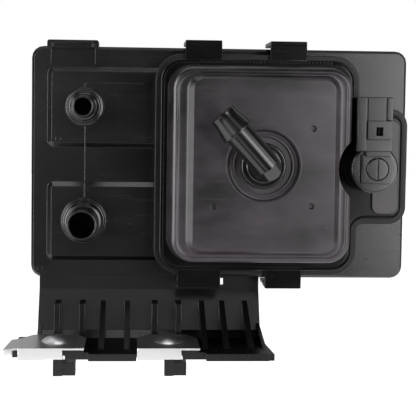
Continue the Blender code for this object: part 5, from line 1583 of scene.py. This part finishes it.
@dataclass
class Connector:
    """The wiring connector: round base, square plate, neck, socket with rails and latch, slotted plug."""

    palette: Palette
    x: float = 0.0829
    z: float = -0.0005
    foot: float = -0.0184
    height: float = 0.0137
    radius: float = 0.01345
    chamfer: float = 0.0010
    spigot: Pair = (0.0086, -0.0050)
    edge: float = 0.0003
    plate: Triple = (0.0759, 0.0915, 0.0081)
    plate_rise: float = 0.0015
    neck: Pair = (0.0773, 0.0907)
    neck_set_in: Pair = (0.0008, 0.0020)
    socket: Quad = (0.0716, 0.0914, 0.0094, 0.0392)
    front: float = -0.0360
    depth: float = 0.0150
    wall: float = 0.0024
    floor: float = 0.0066
    box_edge: float = 0.0004
    rail: float = 0.0049
    right_rail: float = 0.0034
    rail_rise: float = 0.0012
    latch: Quad = (0.0773, 0.0900, 0.0159, 0.0262)
    latch_rise: float = 0.0018
    latch_hole: Quad = (0.0837, 0.0204, 0.0038, 0.0046)
    tongue: Pair = (0.0775, 0.0869)
    tongue_rise: float = 0.0008
    tongue_edge: float = 0.0002
    plug_at: float = 0.0840
    plug: float = 0.0061
    plug_proud: float = 0.0008
    plug_chamfer: float = 0.0004
    plug_back: float = -0.0034
    plug_soft: float = 0.0002
    seat_depth: float = 0.0047
    groove: Pair = (0.0013, 0.0003)
    groove_depth: float = 0.0020
    groove_half: float = 0.0078
    slot: float = 0.0011
    pins: int = 4
    pin_pitch: float = 0.0030
    pin_slot: float = 0.0016

    @property
    def top(self) -> float:
        """Return the depth of the base's front face."""
        return self.foot - self.height

    @property
    def plate_face(self) -> float:
        """Return the depth of the plate's front face."""
        return self.top - self.plate_rise

    def build(self) -> None:
        """Build the connector and its plug and dress them."""
        body = self.base()
        Workshop.combine(body, self.upper_works(), Joining.ADD)
        Workshop.combine(body, self.cuts(), Joining.CUT)
        Workshop.fit(body, self.palette.smooth, "connector_body", ["connector_body"])
        Workshop.fit(self.slotted_plug(), self.palette.smooth, "slotted_plug", ["slotted_plug"])

    def base(self) -> Object:
        """Return the round base with its spigot."""
        radius = self.radius
        spigot, spigot_end = self.spigot
        profile = [
            (0.0, self.height),
            (radius - self.chamfer, self.height),
            (radius, self.height - self.chamfer),
            (radius, 0.0),
            (spigot, 0.0),
            (spigot, spigot_end),
            (0.0, spigot_end),
        ]
        place = (self.x, self.foot, self.z)
        return Workshop.lathe("connector_shell", softened(profile, self.edge, steps=2), place, sides=88)

    def upper_works(self) -> list[Object]:
        """Return plate, neck, socket, rails, tongue and latch block."""
        left, right, half = self.plate
        outer_left, outer_right, bottom, top = self.socket
        latch_low, latch_high = self.latch[2:]
        front, back = self.front, self.front + self.depth
        plate_depth = (self.plate_face, self.top + OVERLAP)
        neck_front, neck_back = self.neck_set_in
        neck_depth = (front + neck_front, back - neck_back)
        neck_levels = (self.z + half - OVERLAP, latch_low + OVERLAP)
        left_rail = (outer_left + GAP, outer_left + self.rail)
        right_rail = (outer_right - self.right_rail, outer_right - GAP)
        end = top - GAP
        raised = (front - self.rail_rise, front + OVERLAP)
        tongue_depth = (front - self.tongue_rise, front + OVERLAP)
        latch_depth = (front - self.latch_rise, front + OVERLAP)
        blocks = (
            ("plate", (left, right), plate_depth, (self.z - half, self.z + half), self.edge),
            ("neck", self.neck, neck_depth, neck_levels, self.edge),
            ("box", (outer_left, outer_right), (front, back), (bottom, top), self.box_edge),
            ("rail", left_rail, raised, (bottom + GAP, end), self.edge),
            ("rail", right_rail, raised, (latch_high + GAP, end), self.edge),
            ("tongue", self.tongue, tongue_depth, (latch_high - OVERLAP, end), self.tongue_edge),
            ("latch", self.latch[:2], latch_depth, (latch_low, latch_high), self.edge),
        )
        return [Workshop.block(*block) for block in blocks]

    def cuts(self) -> list[Object]:
        """Return what cuts the latch hole, the socket, the pin slots, the plug's seat and the side slot."""
        x, z, wide, high = self.latch_hole
        hole_depth = (self.front - self.latch_rise - OVERLAP, self.front + self.wall + OVERLAP)
        hole = Workshop.block("hole", span(x, wide), hole_depth, span(z, high))
        left, right, bottom, top = self.socket
        inner_depth = (self.front + self.wall, self.front + self.depth - self.wall)
        inner_levels = (bottom + self.floor, top + OVERLAP)
        inside = Workshop.block("inside", (left + self.wall, right - self.wall), inner_depth, inner_levels)
        slots = []
        slot_depth = span(self.front + self.depth / 2, self.pin_slot)
        slot_levels = (bottom + OVERLAP - GAP, bottom + OVERLAP + self.floor)
        for index in range(self.pins):
            pin = (left + right) / 2 + (index - (self.pins - 1) / 2) * self.pin_pitch
            slots.append(Workshop.block("slot", span(pin, self.pin_slot), slot_depth, slot_levels))
        seat_profile = [(self.plug + GAP, 0.0), (self.plug + GAP, self.seat_depth)]
        seat_place = (self.plug_at, self.plate_face - OVERLAP, self.z)
        seat = Workshop.lathe("seat", seat_profile, seat_place, axis=(0, 1, 0))
        far, near = self.groove
        groove_sides = (self.plate[0] - far, self.plate[0] - near)
        groove_depth = (self.top - OVERLAP, self.top + self.groove_depth)
        groove_levels = (self.z - self.groove_half, self.z + self.groove_half)
        groove = Workshop.block("groove", groove_sides, groove_depth, groove_levels)
        return [hole, inside, Workshop.merge("slots", slots), seat, groove]

    def slotted_plug(self) -> Object:
        """Return the plug with its screwdriver slot and turned edge."""
        radius = self.plug
        profile = [
            (0.0, self.plug_proud),
            (radius - self.plug_chamfer, self.plug_proud),
            (radius, self.plug_proud - self.plug_chamfer),
            (radius, self.plug_back),
            (0.0, self.plug_back),
        ]
        place = (self.plug_at, self.plate_face, self.z)
        plug = Workshop.lathe("turned_plug", softened(profile, self.plug_soft, steps=2), place, sides=64)
        depth = (self.plate_face - self.plug_proud - OVERLAP, self.plate_face)
        slot = Workshop.block("slot", span(self.plug_at, self.slot), depth, span(self.z, 4 * radius))
        return Workshop.combine(plug, [slot], Joining.CUT)


@dataclass
class SpringClip:
    """One zinc plated clip on the bracket's shelf, folded from sheet, with a pressed bump."""

    palette: Palette
    node: str
    left: float
    width: float
    bump: float
    wing: bool
    sheet: float = 0.0010
    front: float = -0.0483
    top: float = -0.0971
    low: float = -0.1016
    reach: float = 0.0300
    lower_reach: float = 0.0180
    lower_width: float = 0.0140
    face_width: float = 0.0235
    chamfer: Pair = (0.0055, 0.0085)
    corners: Triple = (0.0003, 0.0030, 0.0060)
    fold_edge: float = 0.0002
    bump_radius: float = 0.0087
    bump_height: float = 0.0034
    bump_back: float = 0.0160
    bump_steps: int = 16
    bump_fullness: float = 0.9
    bump_sunk: float = 0.00002
    bump_foot: float = 0.98
    wing_width: float = 0.0080
    wing_length: float = 0.0215
    wing_slope: float = 0.0011
    wing_drop: float = 0.0034
    wing_back: Pair = (0.0020, 0.75)
    wing_set_in: float = 0.0001
    ear: float = 0.0030
    upward: float = 0.5

    def build(self) -> None:
        """Build the clip and dress it, with upward faces painted in a darker copy of its zinc as shade."""
        outer = self.front - self.sheet
        back = self.front + self.reach
        right = self.left + self.width
        across, deep = self.chamfer
        fold, side, rear = self.corners
        corners = (
            (self.left, outer, fold),
            (right, outer, fold),
            (right, back - deep, side),
            (right - across, back, rear),
            (self.left + across, back, rear),
            (self.left, back - deep, side),
        )
        plate = rounded(corners, steps=8)
        clip = Workshop.slab("clip", plate, self.top, self.top + self.sheet, Axis.UP)
        pieces = [self.fold(), self.dome()]
        if self.wing:
            pieces += self.wing_pieces()
        Workshop.combine(clip, pieces, Joining.ADD)
        clip.name = self.node + "_folded"
        Workshop.fit(clip, self.palette.zinc, "spring_clip", [self.node], angle=40)
        # Upward faces get the darker copy of the zinc: painted shade on the tops of the clip.
        clip.data.materials.append(self.palette.shaded_satin_zinc)
        for polygon in clip.data.polygons:
            if polygon.normal.z > self.upward:
                polygon.material_index = 1

    def fold(self) -> Object:
        """Return the front face and lower leaf, folded round from the plate."""
        outer = self.front - self.sheet
        sides = (self.left, self.left + self.face_width)
        levels = (self.low - self.sheet / 2, self.top + self.sheet / 2)
        face = Workshop.block("face", sides, (outer, self.front), levels, self.fold_edge)
        section = [
            (outer, self.low + self.sheet),
            (outer, self.low - self.sheet),
            (self.front + self.lower_reach, self.low - self.sheet),
            (self.front + self.lower_reach, self.low),
            (self.front, self.low),
            (self.front, self.low + self.sheet),
        ]
        lower_left = self.left + GAP
        leaf = Workshop.slab("leaf", section, lower_left, lower_left + self.lower_width, Axis.ACROSS)
        return Workshop.combine(face, [leaf], Joining.ADD)

    def dome(self) -> Object:
        """Return the pressed bump, an oval dome that flows into the plate."""
        profile = []
        for step in range(self.bump_steps + 1):
            share = step / self.bump_steps
            height = self.bump_height * (1 - share * share) ** self.bump_fullness
            profile.append((self.bump_radius * share, self.sheet + height - self.bump_sunk))
        profile.append((self.bump_radius * self.bump_foot, self.sheet / 2))
        profile.append((0.0, self.sheet / 2))
        place = (self.left + self.bump, self.front + self.bump_back, self.top)
        return Workshop.lathe("bump", profile, place, axis=(0, 0, 1), sides=64)

    def wing_pieces(self) -> list[Object]:
        """Return the wing beside the plate and its turned-down tab."""
        tip = self.left - self.wing_width
        back = self.front + self.wing_length
        narrowing, share = self.wing_back
        outline = [
            (tip, self.front + OVERLAP, self.wing_slope),
            (self.left + OVERLAP, self.front - self.sheet / 2, 0.0),
            (self.left + OVERLAP, back, 0.0),
            (tip + narrowing, back, self.wing_slope * share),
        ]
        rings = []
        for level in (self.top + self.wing_set_in, self.top + self.sheet - self.wing_set_in):
            rings.append([(x, y, level - drop) for x, y, drop in outline])
        plate = Workshop.skin("wing", rings)
        sides = (tip + GAP, self.left - self.ear - GAP)
        depth = (self.front + OVERLAP + GAP, self.front + OVERLAP + self.sheet)
        tab_levels = (self.top - self.wing_drop, self.top + self.sheet / 2 - self.wing_slope)
        tab = Workshop.block("tab", sides, depth, tab_levels, self.fold_edge)
        return [plate, tab]


@dataclass
class CarriedNodes:
    """The nodes whose own shape is kept: rear cover, tray and all that lies inside."""

    palette: Palette
    cover_softness: float = 0.0006
    tray_softness: float = 0.0004

    def build(self) -> None:
        """Dress every node that keeps its own shape."""
        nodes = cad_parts
        soften_node(nodes["rear_cover"], self.palette.case, self.cover_softness)
        soften_node(nodes["module_tray"], self.palette.rubber, self.tray_softness)
        kinds = {
            self.palette.charcoal: ("charcoal_bed_",),
            self.palette.foam: ("front_filter_", "rear_filter_", "air_filter"),
            self.palette.natural: ("pressure_plate_", "coil_bobbin"),
            self.palette.steel: (
                "bed_spring_", "pump_base_plate", "pump_ring", "pump_end_plate", "pump_rotor", "valve_yoke"
            ),
            self.palette.zinc: ("pump_motor", "pump_screw_", "valve_plunger", "valve_spring"),
            self.palette.rubber: (
                "vent_o_ring", "elbow_o_ring", "connector_o_ring", "valve_seal", "pump_vane_"
            ),
            self.palette.copper: ("coil_winding",),
            self.palette.tin: ("connector_terminal_",),
            self.palette.board: ("circuit_board",),
            self.palette.smooth: ("pressure_sensor",),
        }
        for material, prefixes in kinds.items():
            for name in sorted(nodes):
                if name.startswith(prefixes):
                    dress(nodes[name], material)
                    LOG.info("%s dressed in %s", name, material.name)


@dataclass(frozen=True)
class Softbox:
    """One lamp of the studio.

    Attributes:
        name: Its name.
        place: Where it stands, from the case's middle.
        size: Its width and height.
        power: Its power in watts.
        aim: What it points at, from the case's middle.
    """

    name: str
    place: Triple
    size: Pair
    power: float
    aim: Triple = (0.0, 0.0, 0.0)


@dataclass(frozen=True)
class Card:
    """One flat card that is seen only in reflections.

    Attributes:
        name: Its plain name.
        x: Where it starts and ends across, in the case frame.
        y: Where it starts and ends in depth; the same twice for an upright card.
        z: Where it starts and ends in height; the same twice for a lying card.
        glow: How bright it shows.
    """

    name: str
    x: Pair
    y: Pair
    z: Pair
    glow: float


@dataclass
class Studio:
    """Floor, dark tent, lamps, white surround and camera."""

    floor_z: float = -0.30
    floor_side: float = 12.0
    floor_tone: float = 0.86
    floor_glow: float = 0.85
    tent_radius: float = 2.0
    tent_steps: int = 24
    tent_tone: float = 0.006
    tent_turn: float = math.radians(112)
    tent_levels: Pair = (-0.29, 2.6)
    roof: Pair = (-2.0, 0.25)
    mat: Triple = (-2.2, -0.45, 1.8)
    mat_rise: float = 0.005
    ambient: float = 0.35
    lamps: tuple[Softbox, ...] = (
        Softbox("left_softbox", (-1.13, -0.65, 0.10), (0.46, 1.3), 21.0),
        Softbox("left_front_softbox", (-0.80, -1.25, 0.10), (0.45, 1.2), 4.0),
        Softbox("right_softbox", (1.13, -0.65, 0.10), (0.55, 1.3), 9.0),
        Softbox("front_right_softbox", (0.78, -1.34, 0.05), (0.60, 1.2), 17.0),
        Softbox("top_softbox", (0.0, -1.07, 0.60), (1.8, 0.32), 1.35),
    )
    cards: tuple[Card, ...] = (
        Card("white_card", (-0.42, 0.12), (-1.24, -0.68), (-0.39, -0.39), 1.45),
        Card("high_card", (-0.20, 0.04), (-0.105, -0.030), (0.30, 0.30), 3.2),
        Card("left_card", (-0.85, -0.20), (-1.45, -1.45), (-0.20, 0.50), 0.55),
        Card("grey_card", (-2.0, 2.0), (1.30, 1.30), (-0.30, 1.60), 0.42),
    )
    eye: Triple = (-0.0498, -0.5254, 0.0277)
    turn: Triple = (-2.820, -2.681, -0.724)
    shift: Pair = (0.07, -0.12)
    focal_pixels: float = 905.2
    image_side: float = 416.0
    sensor: float = 36.0

    def build(self) -> None:
        """Set the studio up."""
        self.add_floor()
        self.add_tent()
        for card in self.cards:
            self.add_card(card)
        self.light_world()
        for lamp in self.lamps:
            self.add_lamp(lamp)
        self.add_camera()
        bpy.context.scene.view_settings.view_transform = "Standard"

    @staticmethod
    def place(
        bm: BMesh, name: str, material: Material, unseen: Sequence[str] = (), height: float = 0.0
    ) -> None:
        """Place one sheet of the studio.

        Args:
            bm: Its mesh, which is used up.
            name: Its name.
            material: Its material.
            unseen: The kinds of rays that pass it by.
            height: How far it is raised.
        """
        sheet = place_mesh(bm, name)
        sheet.location = (0.0, 0.0, height)
        sheet.data.materials.append(material)
        for rays in unseen:
            setattr(sheet, "visible_" + rays, False)

    def add_floor(self) -> None:
        """Lay the pale floor, which shows as white but keeps shadows."""
        bm = bmesh.new()
        bmesh.ops.create_grid(bm, x_segments=1, y_segments=1, size=self.floor_side / 2)
        tone = (self.floor_tone, self.floor_tone, self.floor_tone, 1.0)
        material = plain_material("pale floor", Base_Color=tone, Roughness=0.9, Emission_Color=WHITE)
        graph = Graph(material.node_tree)
        glow = graph.scaled(graph.seen_or_mirrored(), self.floor_glow)
        graph.link(glow, material.node_tree.nodes["Principled BSDF"].inputs["Emission Strength"])
        self.place(bm, "studio_floor", material, height=self.floor_z)

    def add_tent(self) -> None:
        """Hang dark cloth round the front and lay a dark mat, which keep the plain reflections deep."""
        bm = bmesh.new()
        low, high = self.tent_levels
        middle = CASE.at(0.0, 0.0, 0.0)
        before = None
        for step in range(self.tent_steps + 1):
            turn = self.tent_turn * (2 * step / self.tent_steps - 1)
            x = middle.x + self.tent_radius * math.sin(turn)
            y = middle.y - self.tent_radius * math.cos(turn)
            edge = (bm.verts.new((x, y, low)), bm.verts.new((x, y, high)))
            if before:
                bm.faces.new((*before, edge[1], edge[0]))
            before = edge
        far, near, half = self.mat
        for level, start, end in ((self.floor_z + self.mat_rise, far, near), (high, *self.roof)):
            corners = ((-half, start), (half, start), (half, end), (-half, end))
            bm.faces.new([bm.verts.new((middle.x + x, middle.y + y, level)) for x, y in corners])
        tone = (self.tent_tone, self.tent_tone, self.tent_tone, 1.0)
        cloth = plain_material("tent cloth", Base_Color=tone, Roughness=1.0, Specular_IOR_Level=0.0)
        self.place(bm, "dark_tent", cloth, ("camera", "shadow"))

    def add_card(self, card: Card) -> None:
        """Hang one card.

        Args:
            card: Its place and brightness.
        """
        left, right = card.x
        corners = []
        for y, z, sides in ((card.y[0], card.z[0], (left, right)), (card.y[1], card.z[1], (right, left))):
            corners += [CASE.at(x, y, z) for x in sides]
        bm = bmesh.new()
        bm.faces.new([bm.verts.new(corner) for corner in corners])
        glowing = plain_material(
            card.name,
            Base_Color=BLACK,
            Roughness=1.0,
            Specular_IOR_Level=0.0,
            Emission_Color=WHITE,
            Emission_Strength=card.glow,
        )
        self.place(bm, card.name, glowing, ("camera", "shadow", "diffuse"))

    def light_world(self) -> None:
        """Give the world a white that is seen and mirrored, and a dimmer even light."""
        world = bpy.data.worlds.new("white surround")
        bpy.context.scene.world = world
        world.use_nodes = True
        graph = Graph(world.node_tree)
        background = world.node_tree.nodes["Background"]
        set_inputs(background, Color=WHITE)
        glow = graph.spread(graph.seen_or_mirrored(), 0.0, 1.0, self.ambient, 1.0)
        graph.link(glow, background.inputs["Strength"])

    def add_lamp(self, lamp: Softbox) -> None:
        """Hang one softbox.

        Args:
            lamp: Its place, size and power.
        """
        light = bpy.data.lights.new(lamp.name, "AREA")
        light.shape = "RECTANGLE"
        light.size, light.size_y = lamp.size
        light.energy = lamp.power
        obj = bpy.data.objects.new(lamp.name, light)
        obj.location = CASE.at(*lamp.place)
        way = CASE.at(*lamp.aim) - obj.location
        obj.rotation_euler = way.to_track_quat("-Z", "Y").to_euler()
        obj.visible_camera = False
        bpy.context.scene.collection.objects.link(obj)

    def add_camera(self) -> None:
        """Place the camera at the photograph's viewpoint."""
        data = bpy.data.cameras.new("photo_camera")
        data.sensor_width = self.sensor
        data.lens = self.focal_pixels / self.image_side * self.sensor
        data.shift_x, data.shift_y = self.shift
        camera = bpy.data.objects.new("photo_camera", data)
        yaw, pitch, roll = (math.radians(value) for value in self.turn)
        turned = Matrix.Rotation(yaw, 4, "Z") @ Matrix.Rotation(pitch, 4, "X") @ Matrix.Rotation(roll, 4, "Y")
        level = Matrix.Rotation(math.radians(90), 4, "X")
        camera.matrix_world = Matrix.Translation(CASE.at(*self.eye)) @ turned @ level
        bpy.context.scene.collection.objects.link(camera)
        bpy.context.scene.camera = camera


def main() -> None:
    """Build the canister's looks and the studio, piece by piece."""
    logging.basicConfig(level=logging.INFO, format="%(name)s: %(message)s")
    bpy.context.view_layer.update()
    Studio().build()
    palette = Palette()
    outline = ModuleOutline()
    CaseShell(palette).build()
    for port in (
        HosePort(
            palette,
            "small_port_skin",
            x=-0.0786,
            z=0.0322,
            length=0.0220,
            base=0.0111,
            step=0.0080,
            tube=0.0062,
            bore=0.0049,
            shoulder=0.0063,
        ),
        HosePort(
            palette,
            "big_port_skin",
            x=-0.0786,
            z=-0.0335,
            length=0.0260,
            base=0.0133,
            step=0.0109,
            tube=0.0086,
            bore=0.0073,
            shoulder=0.0073,
        ),
    ):
        port.build()
    ModuleSeal(palette, outline).build()
    ModuleCover(palette, outline).build()
    ElbowNozzle(palette).build()
    Connector(palette).build()
    SpringClip(palette, "spring_clip_left", left=-0.1104, width=0.0350, bump=0.0196, wing=True).build()
    SpringClip(palette, "spring_clip_right", left=-0.0472, width=0.0334, bump=0.0177, wing=False).build()
    CarriedNodes(palette).build()


if __name__ == "__main__":
    main()
